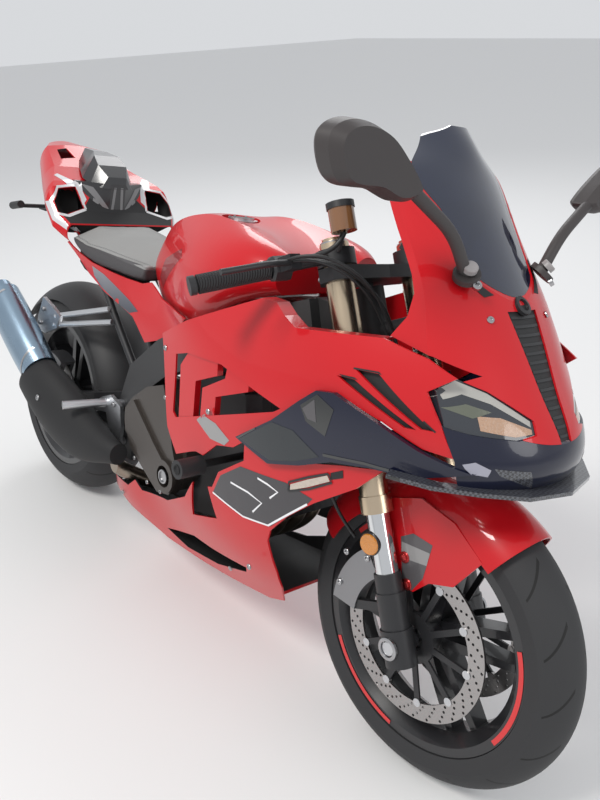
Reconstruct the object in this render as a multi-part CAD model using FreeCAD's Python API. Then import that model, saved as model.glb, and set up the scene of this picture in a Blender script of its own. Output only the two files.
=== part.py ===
import FreeCAD, Part
import math
import os
from collections import namedtuple
from functools import lru_cache

# Sport bike on its side stand.
# Built upright: X forward from the rear axle, Y to the rider's left, Z up.
# The finished machine is leaned over to the left, onto its stand, and
# moved so that the middle of its box on the floor is the origin.

# Driving sizes, in millimetres and degrees
LEAN = 12.2
WHEELBASE = 1430.0
RAKE = 24.5
TRAIL = 98.0
RUN_GAP = 5.0
SEAT_GAP = 0.3
PIN_GAP = 0.05

# Wheels: half widths and radii of the two tyres and their rims
Tyre = namedtuple("Tyre", "x radius half_width crown rim_half hub_half")
FRONT_TYRE = Tyre(WHEELBASE, 300.0, 59.0, 62.0, 46.0, 58.0)
REAR_TYRE = Tyre(0.0, 315.0, 88.0, 96.0, 76.0, 70.0)
BEAD_RADIUS = 216.0
FLANGE_RADIUS = 228.0
FLANGE_THICK = 5.0
WALL_THICK = 9.0
WELL_DEPTH = 16.0
RIM_THICK = 9.0
HUB_RADIUS = 38.0
SPOKE_COUNT = 5
FRONT_AXLE_R = 12.4
REAR_AXLE_R = 13.9

# Brakes
DISC_R = 160.0
DISC_BAND = 34.0
DISC_THICK = 4.5
DISC_Y = 66.0
BOBBIN_COUNT = 10
BOBBIN_R = 8.0
BOBBIN_PROUD = 1.5
REAR_DISC_R = 110.0
REAR_DISC_Y = 86.0

# Fork: heights are measured along the leg from the axle
FORK_Y = 105.0
BOTTOM_R = 27.0
SLIDER_R = 21.5
TUBE_R = 27.0
BOTTOM_TOP = 97.0
TUBE_START = 243.0
LOWER_CLAMP = (440.0, 475.0)
TOP_CLAMP = (665.0, 690.0)
BAR_CLAMP = (693.0, 723.0)
TUBE_TOP = 735.0
CLAMP_WALL = 9.0
HEAD_R = 33.0
STEM_R = 14.0
STEM_BORE_R = 8.0
STEM_BORE_DEPTH = 60.0
GRIP_R = 17.0
BAR_R = 11.0

# Drive
CHAIN_PITCH = 15.875
REAR_TEETH = 42
FRONT_TEETH = 16
CHAIN_Y = 103.0
CHAIN_HALF_HEIGHT = 7.0
CHAIN_PLATE = 3.0
CHAIN_INSIDE = 10.0
SPROCKET_THICK = 6.5
PINION_X = 600.0
PINION_Z = 420.0
PIVOT_X = 508.0
PIVOT_Z = 425.0
PIVOT_R = 12.0
BEAM_Y = 133.0
BEAM_THICK = 28.0
SPOOL_X = 70.0
SPOOL_RISE = 10.0
SPOOL_Y = 155.0
SPOOL_THREAD_R = 4.0
SPOOL_DEPTH = 24.0

# Bodywork
PANEL = 4.0

SIN_RAKE = math.sin(math.radians(RAKE))
COS_RAKE = math.cos(math.radians(RAKE))
COS_LEAN = math.cos(math.radians(LEAN))


def axle_height(tyre):
    # The leaned crown touches the floor, so the axle stands a little higher
    return tyre.radius - tyre.crown + tyre.crown / COS_LEAN


FRONT_Z = axle_height(FRONT_TYRE)
REAR_Z = axle_height(REAR_TYRE)
STEER_X = WHEELBASE + TRAIL
FORK_OFFSET = FRONT_Z * SIN_RAKE - TRAIL * COS_RAKE
AXLE_S = TRAIL * SIN_RAKE + FRONT_Z * COS_RAKE


def vec(x, y, z):
    return FreeCAD.Vector(x, y, z)


def closed_face(points):
    return Part.Face(Part.makePolygon(points + points[:1]))


def side_plate(outline, y_from, y_to):
    face = closed_face([vec(x, y_from, z) for x, z in outline])
    return face.extrude(vec(0, y_to - y_from, 0))


def front_plate(outline, x_from, x_to):
    face = closed_face([vec(x_from, y, z) for y, z in outline])
    return face.extrude(vec(x_to - x_from, 0, 0))


def plan_plate(outline, z_from, z_to):
    face = closed_face([vec(x, y, z_from) for x, y in outline])
    return face.extrude(vec(0, 0, z_to - z_from))


def turned(profile, x, z, start=0.0, sweep=360.0):
    # Profile of (radius, y) turned about the crosswise line at x, z
    face = closed_face([vec(x + r, y, z) for r, y in profile])
    solid = face.revolve(vec(x, 0, z), vec(0, 1, 0), -sweep)
    if start:
        solid.rotate(vec(x, 0, z), vec(0, 1, 0), -start)
    return solid


def bar(start, end, radius):
    a, b = vec(*start), vec(*end)
    return Part.makeCylinder(radius, (b - a).Length, a, b - a)


def box(x, y, z):
    return Part.makeBox(x[1] - x[0], y[1] - y[0], z[1] - z[0], vec(x[0], y[0], z[0]))


def cylinder_y(x, z, radius, y_from, y_to):
    return Part.makeCylinder(radius, y_to - y_from, vec(x, y_from, z), vec(0, 1, 0))


def mirrored(shape):
    return shape.mirror(vec(0, 0, 0), vec(0, 1, 0))


def pair(shape):
    return [shape, mirrored(shape)]


def fused(shapes):
    return shapes[0].multiFuse(shapes[1:]).removeSplitter() if shapes[1:] else shapes[0]


def group(shapes):
    solids = []
    for shape in shapes:
        solids += shape.Solids
    return Part.makeCompound(solids)


def largest(shape):
    return max(shape.Solids, key=lambda solid: solid.Volume)


def rectangle(centre, across, up, half_a, half_u):
    a, u = vec(*across) * half_a, vec(*up) * half_u
    c = vec(*centre)
    corners = [c - a - u, c + a - u, c + a + u, c - a + u]
    return Part.makePolygon(corners + corners[:1])


def lofted(wires, ruled=True):
    return Part.makeLoft(wires, True, ruled)


def beam(sections, y_sign=1):
    # Sections: (x, y, z, half thickness across, half height)
    wires = []
    for x, y, z, half_y, half_z, slope in sections:
        up = (math.sin(math.radians(slope)), 0, math.cos(math.radians(slope)))
        wires.append(rectangle((x, y * y_sign, z), (0, 1, 0), up, half_y, half_z))
    return lofted(wires)


def tube(points, radius, inner=0.0, corner=None):
    # Straight runs joined by arcs that touch both of their runs
    pts = [vec(*p) for p in points]
    edges, last = [], pts[0]
    for before, here, after in zip(pts, pts[1:], pts[2:]):
        into, out = (here - before), (after - here)
        shorter = min(into.Length, out.Length)
        into.normalize()
        out.normalize()
        half = math.acos(max(-1.0, min(1.0, into.dot(out)))) / 2
        trim = 0.45 * shorter if corner is None else min(corner * math.tan(half), 0.45 * shorter)
        first, second = here - into * trim, here + out * trim
        turn = out - into
        turn.normalize()
        bend = trim / math.tan(half)
        middle = here + turn * (math.hypot(bend, trim) - bend)
        edges.append(Part.LineSegment(last, first).toShape())
        edges.append(Part.Arc(first, middle, second).toShape())
        last = second
    edges.append(Part.LineSegment(last, pts[-1]).toShape())
    path = Part.Wire(edges)
    start = pts[1] - pts[0]

    def swept(r):
        ring = Part.Wire([Part.Circle(pts[0], start, r).toShape()])
        return path.makePipeShell([ring], True, False)
    return swept(radius).cut(swept(inner)) if inner else swept(radius)


def fork_place(shape):
    # From the steering axis's own frame to the upright machine
    shape.rotate(vec(0, 0, 0), vec(0, 1, 0), -RAKE)
    shape.translate(vec(STEER_X, 0, 0))
    return shape


def fork_point(x, y, s):
    return (STEER_X + x * COS_RAKE - s * SIN_RAKE, y, x * SIN_RAKE + s * COS_RAKE)


# Tyres, rims and discs
def tyre_solid(t):
    z = axle_height(t)
    shoulder = t.radius - t.crown + math.sqrt(t.crown ** 2 - t.half_width ** 2)
    lip, rim = FLANGE_RADIUS + 1.5, t.rim_half - SEAT_GAP
    inner_half = t.half_width - WALL_THICK
    arc_out = Part.Arc(vec(t.x + shoulder, t.half_width, z), vec(t.x + t.radius, 0, z),
                       vec(t.x + shoulder, -t.half_width, z))
    arc_in = Part.Arc(vec(t.x + shoulder, -inner_half, z), vec(t.x + t.radius - WALL_THICK, 0, z),
                      vec(t.x + shoulder, inner_half, z))

    def wall(sign):
        pts = [(shoulder, t.half_width), (lip, rim + 8), (lip, rim), (BEAD_RADIUS + SEAT_GAP, rim),
               (BEAD_RADIUS + SEAT_GAP, rim - WALL_THICK), (shoulder, inner_half)]
        return [vec(t.x + r, sign * y, z) for r, y in pts]
    left, right = wall(1), wall(-1)
    edges = [arc_out.toShape()] + [Part.LineSegment(a, b).toShape() for a, b in zip(right, right[1:])]
    edges += [arc_in.toShape()] + [Part.LineSegment(a, b).toShape() for a, b in zip(left, left[1:])]
    face = Part.Face(Part.Wire(Part.sortEdges(edges)[0]))
    return face.revolve(vec(t.x, 0, z), vec(0, 1, 0), 360)


def rim_solid(t, axle_r, blade):
    # blade: half widths of a spoke blade (hub, rim) and its offsets from the spoke's middle
    z = axle_height(t)
    outer, inner = t.rim_half + FLANGE_THICK, t.rim_half
    well = BEAD_RADIUS - WELL_DEPTH
    half = [(FLANGE_RADIUS, inner), (FLANGE_RADIUS, outer), (BEAD_RADIUS - 5, outer),
            (well - RIM_THICK, outer - 26)]
    under = [(well, outer - 30), (BEAD_RADIUS - 3, inner - 12), (BEAD_RADIUS, inner)]
    profile = half + [(r, -y) for r, y in reversed(half)]
    profile += [(r, -y) for r, y in reversed(under)] + under
    barrel = turned(profile, t.x, z)
    hub = turned([(axle_r + PIN_GAP, -t.hub_half), (HUB_RADIUS, -t.hub_half),
                  (HUB_RADIUS, t.hub_half), (axle_r + PIN_GAP, t.hub_half)], t.x, z)
    parts = [barrel, hub]
    reach = well - RIM_THICK / 2
    for number in range(SPOKE_COUNT):
        for side in (-1, 1):
            root = rectangle((t.x + side * blade.hub_offset, 0, z + HUB_RADIUS - 8), (1, 0, 0),
                             (0, 1, 0), blade.hub_half, blade.hub_deep)
            tip = rectangle((t.x + side * blade.rim_offset, 0, z + reach), (1, 0, 0),
                            (0, 1, 0), blade.rim_half, blade.rim_deep)
            spoke = lofted([root, tip])
            spoke.rotate(vec(t.x, 0, z), vec(0, 1, 0), number * 360 / SPOKE_COUNT)
            parts.append(spoke)
    return fused(parts)


Blade = namedtuple("Blade", "hub_offset rim_offset hub_half rim_half hub_deep rim_deep")
FRONT_BLADE = Blade(15.0, 30.0, 10.0, 7.5, 26.0, 17.0)
REAR_BLADE = Blade(16.0, 30.0, 11.0, 8.0, 34.0, 24.0)


def front_disc(side):
    y = side * DISC_Y
    half = DISC_THICK / 2
    ring = turned([(DISC_R - DISC_BAND, y - half), (DISC_R, y - half),
                   (DISC_R, y + half), (DISC_R - DISC_BAND, y + half)], WHEELBASE, FRONT_Z)
    hub_face = side * FRONT_TYRE.hub_half
    low, high = sorted((hub_face, y + side * half))
    middle = turned([(HUB_RADIUS - 14, low), (HUB_RADIUS + 12, low),
                     (HUB_RADIUS + 12, high), (HUB_RADIUS - 14, high)], WHEELBASE, FRONT_Z)
    parts = [ring, middle]
    mount_r = DISC_R - DISC_BAND
    for number in range(BOBBIN_COUNT):
        angle = number * 360 / BOBBIN_COUNT
        bobbin = cylinder_y(WHEELBASE + mount_r, FRONT_Z, BOBBIN_R,
                            y - half - BOBBIN_PROUD, y + half + BOBBIN_PROUD)
        arm = box((WHEELBASE + HUB_RADIUS + 6, WHEELBASE + mount_r - 3), (y - half, y + half),
                  (FRONT_Z - 6, FRONT_Z + 6))
        for piece in (bobbin, arm):
            piece.rotate(vec(WHEELBASE, 0, FRONT_Z), vec(0, 1, 0), angle)
            parts.append(piece)
    return fused(parts)


def rear_disc():
    y, half = -REAR_DISC_Y, DISC_THICK / 2
    return turned([(HUB_RADIUS - 14, y - half), (REAR_DISC_R, y - half), (REAR_DISC_R, y + half),
                   (REAR_DISC_R - 28, y + half), (REAR_DISC_R - 40, -REAR_TYRE.hub_half),
                   (HUB_RADIUS - 14, -REAR_TYRE.hub_half)], 0, REAR_Z)


# Chain drive
def pitch_radius(teeth):
    return CHAIN_PITCH / (2 * math.sin(math.pi / teeth))


def sprocket(x, z, teeth, y_from, y_to, bore):
    radius = pitch_radius(teeth)
    points = []
    for number in range(teeth):
        for share, level in ((0.0, 5.5), (0.30, 4.0), (0.42, -4.5), (0.78, -4.5), (0.90, 4.0)):
            angle = 2 * math.pi * (number + share) / teeth
            points.append((x + (radius + level) * math.cos(angle), z + (radius + level) * math.sin(angle)))
    return side_plate(points, y_from, y_to).cut(cylinder_y(x, z, bore, y_from - 1, y_to + 1))


def rear_sprocket():
    low, high = CHAIN_Y - SPROCKET_THICK / 2, CHAIN_Y + SPROCKET_THICK / 2
    bore = HUB_RADIUS - 8
    carrier = turned([(bore, REAR_TYRE.hub_half), (62, REAR_TYRE.hub_half), (62, low + 1), (bore, low + 1)], 0, REAR_Z)
    return fused([sprocket(0, REAR_Z, REAR_TEETH, low, high, bore), carrier])


def pinion(floor):
    half = CHAIN_INSIDE / 2 - SEAT_GAP
    gear = sprocket(PINION_X, PINION_Z, FRONT_TEETH, CHAIN_Y - half, CHAIN_Y + half, 14)
    return fused([gear, cylinder_y(PINION_X, PINION_Z, 16, floor - 1, CHAIN_Y + half + 4)])


def chain_loop(half):
    # Outline of the chain's run at a distance from its pitch line
    big, small = pitch_radius(REAR_TEETH) + half, pitch_radius(FRONT_TEETH) + half
    dx, dz = PINION_X, PINION_Z - REAR_Z
    span = math.hypot(dx, dz)
    tilt = math.atan2(dz, dx)
    lap = math.acos((big - small) / span)

    def at(centre, radius, angle):
        return vec(centre[0] + radius * math.cos(angle), 0, centre[1] + radius * math.sin(angle))
    rear, front = (0.0, REAR_Z), (PINION_X, PINION_Z)
    up, down = tilt + lap, tilt - lap
    edges = [Part.LineSegment(at(rear, big, up), at(front, small, up)).toShape(),
             Part.Arc(at(front, small, up), at(front, small, tilt), at(front, small, down)).toShape(),
             Part.LineSegment(at(front, small, down), at(rear, big, down)).toShape(),
             Part.Arc(at(rear, big, down), at(rear, big, tilt + math.pi), at(rear, big, up)).toShape()]
    return Part.Wire(edges), at(rear, big - half, up), at(front, small - half, up), \
        at(rear, big - half, down), at(front, small - half, down)


def chain():
    outer, top_rear, top_front, low_rear, low_front = chain_loop(CHAIN_HALF_HEIGHT)
    inner = chain_loop(-CHAIN_HALF_HEIGHT)[0]
    face = Part.Face(outer).cut(Part.Face(inner))
    half = CHAIN_INSIDE / 2
    rows = []
    for y in (CHAIN_Y - half - CHAIN_PLATE, CHAIN_Y + half):
        row = face.extrude(vec(0, CHAIN_PLATE, 0))
        row.translate(vec(0, y, 0))
        rows.append(row)
    rollers = []
    for start, end in ((top_rear, top_front), (low_rear, low_front)):
        run = end - start
        count = int((run.Length - 8 * CHAIN_PITCH) / CHAIN_PITCH)
        run.normalize()
        for number in range(0, count, 2):
            p = start + run * (4 + number) * CHAIN_PITCH
            rollers.append(cylinder_y(p.x, p.z, 4.5, CHAIN_Y - half - 1, CHAIN_Y + half + 1))
    return fused(rows + rollers)


# Fork, clamps and bars, in the steering axis's own frame
def leg(bottom, top, radius, side):
    return Part.makeCylinder(radius, top - bottom, vec(FORK_OFFSET, side * FORK_Y, AXLE_S + bottom))


def fork_tubes():
    legs = []
    for side in (-1, 1):
        upper = leg(TUBE_START, TUBE_TOP, TUBE_R, side)
        collar = leg(TUBE_START, TUBE_START + 32, TUBE_R + 3, side)
        cap = leg(TUBE_TOP, TUBE_TOP + 9, TUBE_R - 6, side)
        legs.append(fork_place(fused([upper, collar, cap])))
    return group(legs)


def fork_sliders():
    return group([fork_place(leg(132, TUBE_START, SLIDER_R, side)) for side in (-1, 1)])


CALIPER_TURN = 155.0
CALIPER_SPREAD = 25.0
CALIPER_IN = DISC_R - DISC_BAND - 4
CALIPER_OUT = DISC_R + 20
CALIPER_Y = (40.0, 99.0)
CALIPER_SLOT = DISC_THICK / 2 + BOBBIN_PROUD + RUN_GAP + SEAT_GAP


@lru_cache(None)
def fork_bottoms():
    legs = []
    for side in (-1, 1):
        body = leg(-32, BOTTOM_TOP, BOTTOM_R, side)
        foot = leg(-38, 30, BOTTOM_R + 3, side)
        inner = side * (FRONT_TYRE.hub_half + 14)
        spacer = cylinder_y(FORK_OFFSET, AXLE_S, 19, *sorted((inner, side * FORK_Y)))
        ears = [box((FORK_OFFSET + back, FORK_OFFSET), sorted((side * 84, side * 96)),
                    (AXLE_S + rise - 9, AXLE_S + rise + 9)) for back, rise in ((-112, 60), (-36, 118))]
        solid = fused([body, foot, spacer, leg(BOTTOM_TOP, 132, BOTTOM_R - 2, side)] + ears)
        solid = solid.cut(cylinder_y(FORK_OFFSET, AXLE_S, FRONT_AXLE_R + PIN_GAP, -200, 200))
        legs.append(largest(fork_place(solid).cut(front_caliper(side))))
    return group(legs)


def front_axle():
    end = FORK_Y + BOTTOM_R + 3 + SEAT_GAP
    shaft = cylinder_y(WHEELBASE, FRONT_Z, FRONT_AXLE_R, -end, end)
    head = cylinder_y(WHEELBASE, FRONT_Z, FRONT_AXLE_R + 6, end, end + 5)
    return fused([shaft, head])


@lru_cache(None)
def front_caliper(side):
    lo, hi = CALIPER_Y
    start = CALIPER_TURN - CALIPER_SPREAD
    ys = sorted((side * lo, side * hi))
    body = turned([(CALIPER_IN, ys[0]), (CALIPER_OUT, ys[0]), (CALIPER_OUT, ys[1]), (CALIPER_IN, ys[1])],
                  WHEELBASE, FRONT_Z, start, 2 * CALIPER_SPREAD)
    gap = sorted((side * (DISC_Y - CALIPER_SLOT), side * (DISC_Y + CALIPER_SLOT)))
    slot = turned([(CALIPER_IN - 5, gap[0]), (DISC_R + RUN_GAP, gap[0]), (DISC_R + RUN_GAP, gap[1]),
                   (CALIPER_IN - 5, gap[1])], WHEELBASE, FRONT_Z, start - 5, 2 * CALIPER_SPREAD + 10)
    return body.cut(slot)


def clamp_plate(s_from, s_to):
    nose = STEM_R + 14
    front = FORK_OFFSET + TUBE_R + CLAMP_WALL
    half = FORK_Y + TUBE_R + CLAMP_WALL
    outline = [(-nose, -28), (-nose, 28), (-10, half - 30), (FORK_OFFSET - 14, half), (front - 14, half),
               (front, half - 18), (front - 6, 0), (front, -half + 18), (front - 14, -half),
               (FORK_OFFSET - 14, -half), (-10, -half + 30)]
    plate = plan_plate(outline, AXLE_S + s_from, AXLE_S + s_to)
    for side in (-1, 1):
        plate = plate.cut(leg(s_from - 5, s_to + 5, TUBE_R + PIN_GAP, side))
    return plate


def triple_clamps():
    stem = Part.makeCylinder(STEM_R, TOP_CLAMP[1] - LOWER_CLAMP[0] + 12, vec(0, 0, AXLE_S + LOWER_CLAMP[0]))
    bore = Part.makeCylinder(STEM_BORE_R, STEM_BORE_DEPTH, vec(0, 0, AXLE_S + LOWER_CLAMP[0]))
    return fork_place(fused([clamp_plate(*LOWER_CLAMP), clamp_plate(*TOP_CLAMP), stem]).cut(bore))


BAR_START = (FORK_OFFSET + 8, FORK_Y + TUBE_R, AXLE_S + 708)
BAR_END = (FORK_OFFSET - 97, 352.0, AXLE_S + 688)
GRIP_FROM = 0.46


def bar_point(share, side):
    return tuple((a + (b - a) * share) * (side if i == 1 else 1)
                 for i, (a, b) in enumerate(zip(BAR_START, BAR_END)))


def handlebars():
    parts = []
    for side in (-1, 1):
        ring = leg(*BAR_CLAMP, TUBE_R + CLAMP_WALL, side).cut(leg(BAR_CLAMP[0] - 5, BAR_CLAMP[1] + 5,
                                                                 TUBE_R + PIN_GAP, side))
        stub = bar(bar_point(0.02, side), bar_point(1, side), BAR_R)
        weight = bar(bar_point(1, side), bar_point(1.045, side), BAR_R + 6)
        parts.append(fork_place(fused([ring, stub, weight])))
    return group(parts)


def grips():
    parts = []
    for side in (-1, 1):
        sleeve = bar(bar_point(GRIP_FROM, side), bar_point(0.985, side), GRIP_R)
        sleeve = sleeve.cut(bar(bar_point(GRIP_FROM - 0.1, side), bar_point(1.1, side), BAR_R + PIN_GAP))
        parts.append(fork_place(sleeve))
    return group(parts)


def controls():
    parts = []
    for side in (-1, 1):
        perch = bar(bar_point(0.33, side), bar_point(0.43, side), GRIP_R + 2)
        px, py, pz = bar_point(0.38, side)
        body = box((px + 14, px + 46), sorted((py - 12, py + 12)), (pz - 12, pz + 14))
        lever = tube([(px + 40, py, pz), (px + 52, py + side * 60, pz - 4),
                      (px + 30, py + side * 150, pz - 12)], 5.5)
        solid = fused([perch, body, lever]).cut(bar(bar_point(0.2, side), bar_point(0.6, side), BAR_R + PIN_GAP))
        parts.append(fork_place(solid))
    return group(parts)


RESERVOIR = (96.0, -135.0, 1056.0)


def reservoir():
    x, y, s = RESERVOIR
    cup = Part.makeCylinder(23, 40, vec(x, y, s))
    lid = Part.makeCylinder(25, 11, vec(x, y, s + 40))
    arm = bar((x, y, s + 4), (FORK_OFFSET + 30, -FORK_Y - 22, AXLE_S + BAR_CLAMP[1] - 8), 5)
    ring = leg(BAR_CLAMP[0] - 5, BAR_CLAMP[1] + 5, TUBE_R + CLAMP_WALL + PIN_GAP, -1)
    return fork_place(fused([cup, lid, arm]).cut(ring))


FENDER_GAP = 13.0
FENDER_FROM = 58.0
FENDER_TO = 156.0


def front_fender():
    t = FRONT_TYRE
    hub = t.radius - t.crown
    inner, outer = t.crown + FENDER_GAP, t.crown + FENDER_GAP + PANEL

    def arc(radius):
        reach = math.radians(86)
        pts = [vec(WHEELBASE + hub + radius * math.cos(a), radius * math.sin(a), FRONT_Z)
               for a in (-reach, 0, reach)]
        return Part.Arc(*pts).toShape(), pts[0], pts[2]
    edge_out, a0, a1 = arc(outer)
    edge_in, b0, b1 = arc(inner)
    wire = Part.Wire([edge_out, Part.LineSegment(a1, b1).toShape(), edge_in, Part.LineSegment(b0, a0).toShape()])
    shell = Part.Face(wire).revolve(vec(WHEELBASE, 0, FRONT_Z), vec(0, 1, 0), -(FENDER_TO - FENDER_FROM))
    shell.rotate(vec(WHEELBASE, 0, FRONT_Z), vec(0, 1, 0), -FENDER_FROM)
    parts = [shell]
    outline = [(1545, 520), (1478, 562), (1400, 575), (1330, 545), (1300, 500), (1352, 480),
               (1362, 398), (1420, 396), (1450, 430), (1500, 450)]
    near = DISC_Y + DISC_THICK / 2 + BOBBIN_PROUD + RUN_GAP + SEAT_GAP
    for side in (-1, 1):
        parts.append(side_plate(outline, *sorted((side * near, side * (near + PANEL)))))
        x, _, z = fork_point(FORK_OFFSET, 0, AXLE_S + 118)
        parts.append(cylinder_y(x, z, 8, *sorted((side * near, side * 96))))
    tubes = [fork_place(leg(TUBE_START - 3, TUBE_TOP, TUBE_R + 4, side)) for side in (-1, 1)]
    return largest(fused(parts).cut(fork_bottoms()).cut(fused(tubes)))


# Bodywork skin: half width of the machine at each station and height
SKIN_X = (420, 650, 850, 1050, 1200, 1350, 1500, 1600)
SKIN_ROWS = (
    (120, (92, 104, 102, 90, 76, 64, 48, 32)),
    (180, (115, 130, 128, 112, 95, 80, 60, 40)),
    (320, (135, 170, 192, 195, 175, 145, 110, 60)),
    (460, (150, 190, 225, 232, 222, 190, 140, 70)),
    (600, (160, 190, 226, 240, 236, 212, 160, 80)),
    (740, (160, 185, 225, 238, 238, 222, 175, 90)),
    (880, (148, 168, 186, 196, 197, 190, 163, 112)),
)


def skin_slab(outward, thick, stations=SKIN_X, rows=SKIN_ROWS):
    # Right-hand skin moved outward, then thickened inward
    grid = [[vec(x, -(half + outward), z) for x, half in zip(stations, row)] for z, row in rows]
    surface = Part.BSplineSurface()
    surface.interpolate(grid)
    return surface.toShape().extrude(vec(0, thick, 0))


def panel(outline, outward=0.0, thick=PANEL, holes=()):
    piece = skin_slab(outward, thick).common(side_plate(outline, -400, -10))
    for hole in holes:
        piece = piece.cut(side_plate(hole, -400, -10))
    return piece


# Rim of the cockpit, which turns inward as a ledge
COCKPIT_EDGE = [(1067, 862), (1105, 862), (1140, 847), (1177, 835), (1263, 849), (1357, 864)]
LEDGE_WIDTH = 30.0
UPPER_OUTLINE = [(742, 708), (854, 766), (908, 790)] + COCKPIT_EDGE + [
    (1442, 853), (1492, 835), (1455, 805), (1484, 760), (1511, 711), (1465, 714), (1395, 738), (1305, 757),
    (1269, 750), (1188, 682), (1092, 592), (1063, 570), (1008, 553), (962, 512), (935, 510), (916, 502), (856, 472),
    (812, 520)]
VENT = [(819, 685), (870, 702), (999, 717), (1184, 691), (1167, 679), (844, 552), (830, 560)]
GILLS = ([(1330, 806), (1373, 811), (1477, 747), (1458, 745)],
         [(1297, 787), (1333, 790), (1452, 742), (1432, 740)])
LOWER_OUTLINE = [(976, 446), (992, 452), (1014, 496), (1093, 553), (1090, 600), (1125, 642),
                 (1170, 660), (1205, 650), (1242, 608), (1327, 635),
                 (1405, 655), (1358, 603), (1275, 541), (1216, 488), (1171, 436), (1161, 408), (1168, 335),
                 (1164, 288), (1146, 238), (1092, 212), (959, 188), (845, 172), (693, 156), (520, 170), (437, 197),
                 (443, 234), (488, 243), (541, 246), (583, 280), (612, 262), (756, 303), (873, 373), (916, 430),
                 (896, 338), (1003, 382)]
BELLY_SLOT = [(703, 194), (857, 256), (939, 264), (1062, 284), (1052, 265), (925, 210), (789, 182)]
WING_OUTLINE = [(1080, 600), (1175, 668), (1235, 724), (1269, 753), (1305, 760), (1390, 738), (1465, 712),
                (1514, 700), (1543, 695), (1462, 664), (1391, 657), (1316, 640), (1249, 608), (1175, 583)]


def fairing_side():
    ledge = COCKPIT_EDGE + [(x, z - PANEL) for x, z in reversed(COCKPIT_EDGE)]
    rim = skin_slab(0, LEDGE_WIDTH).common(side_plate(ledge, -400, -10))
    return fused([panel(UPPER_OUTLINE, 0, PANEL, (VENT,) + GILLS), rim])


def lower_fairing():
    return panel(LOWER_OUTLINE, -PANEL - SEAT_GAP, PANEL, (BELLY_SLOT,))


# Two bent blades behind the vent, their ends lying against the back of the fairing
LOUVRES = ([(836, 666), (872, 709), (980, 724), (985, 689), (906, 653), (908, 560), (852, 536)],
           [(935, 648), (1012, 692), (1016, 724), (1086, 722), (1088, 690), (986, 646), (986, 590), (935, 568)])
LOUVRE_DEPTH = 14.0


def vent_louvres():
    return [panel(outline, -PANEL - SEAT_GAP, LOUVRE_DEPTH) for outline in LOUVRES]


# Nose: flat slices, each an arc across the front and straight sides to the rear
# Columns: height, x of the middle, x and half width where the side starts, x of the rear edge, half width there
NOSE_SLICES = (
    (650, 1585, 1505, 166, 1250, 232),
    (690, 1604, 1512, 172, 1250, 234),
    (745, 1597, 1490, 179, 1250, 233),
    (800, 1558, 1470, 180, 1250, 217),
    (860, 1517, 1436, 179, 1250, 200),
    (933, 1466, 1400, 165, 1250, 182),
    (1000, 1420, 1350, 152, 1240, 166),
    (1071, 1370, 1300, 145, 1230, 150),
    (1130, 1328, 1270, 120, 1225, 126),
    (1200, 1276, 1246, 60, 1215, 66),
)


@lru_cache(None)
def nose_body(inset):
    wires = []
    for z, front, side_x, side_y, rear_x, rear_y in NOSE_SLICES:
        a, b = vec(side_x, side_y - inset, z), vec(side_x, inset - side_y, z)
        c, d = vec(rear_x, inset - rear_y, z), vec(rear_x, rear_y - inset, z)
        edges = [Part.Arc(a, vec(front - inset, 0, z), b).toShape(), Part.LineSegment(b, c).toShape(),
                 Part.LineSegment(c, d).toShape(), Part.LineSegment(d, a).toShape()]
        wires.append(Part.Wire(edges))
    return lofted(wires, False)


# Outlines of the nose's pieces, seen from the side and from the front
SCREEN_EDGE = [(1279, 1131), (1309, 1098), (1344, 1066), (1385, 1019), (1424, 971), (1447, 952), (1478, 924)]
CHIN_EDGE = [(1640, 742), (1600, 742), (1568, 754), (1526, 756), (1480, 764)]
COWL_OUTLINE = [(1457, 805), (1500, 836), (1442, 856), (1361, 868), (1380, 903), (1378, 939), (1362, 965),
                (1338, 994), (1309, 1030), (1282, 1066), (1272, 1108)] + SCREEN_EDGE + [(1640, 760)] + CHIN_EDGE
SCREEN_OUTLINE = [(x + SEAT_GAP, z + SEAT_GAP) for x, z in reversed(SCREEN_EDGE)] + [
    (1240, 1190), (1260, 1212), (1320, 1205), (1500, 940)]
CHIN_OUTLINE = [(x, z - SEAT_GAP) for x, z in CHIN_EDGE] + [(1486, 758), (1514, 708), (1524, 668), (1640, 668)]
LAMP = [(-196, 806), (-156, 829), (-119, 815), (-59, 777), (-62, 758), (-95, 751), (-153, 753), (-178, 757),
        (-190, 780)]
NOSE_SLOT = [(-40, 925), (-14, 735), (14, 735), (40, 925)]


def lamp_holes():
    lamp = front_plate(LAMP, 1420, 1660)
    return fused([lamp, mirrored(lamp)])


@lru_cache(None)
def nose_cowl():
    shell = nose_body(0).cut(nose_body(PANEL)).common(side_plate(COWL_OUTLINE, -300, 300))
    return largest(shell.cut(fused([lamp_holes(), front_plate(NOSE_SLOT, 1440, 1660)])))


def windscreen():
    half = [(125, 900), (118, 1100), (112, 1131), (86, 1158), (54, 1178), (20, 1194)]
    arch = front_plate([(-y, z) for y, z in half] + list(reversed(half)), 1200, 1600)
    return nose_body(2).cut(nose_body(6)).common(side_plate(SCREEN_OUTLINE, -300, 300)).common(arch)


def headlights():
    behind = nose_body(PANEL + SEAT_GAP).cut(nose_body(26))
    return group(pair(largest(behind.common(front_plate(LAMP, 1446, 1660)))))


def nose_duct():
    outline = [(y * 1.35, z + (8 if z > 800 else -8)) for y, z in NOSE_SLOT]
    duct = nose_body(PANEL + SEAT_GAP).cut(nose_body(24)).common(front_plate(outline, 1440, 1660))
    return duct


CHIN_BLADE = [(1440, -236), (1506, -203), (1560, -150), (1608, -88), (1628, 0), (1608, 88), (1560, 150), (1506, 203),
        (1440, 236), (1430, 214), (1500, 178), (1550, 120), (1585, 60), (1594, 0), (1585, -60), (1550, -120),
        (1500, -178), (1430, -214)]


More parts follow.
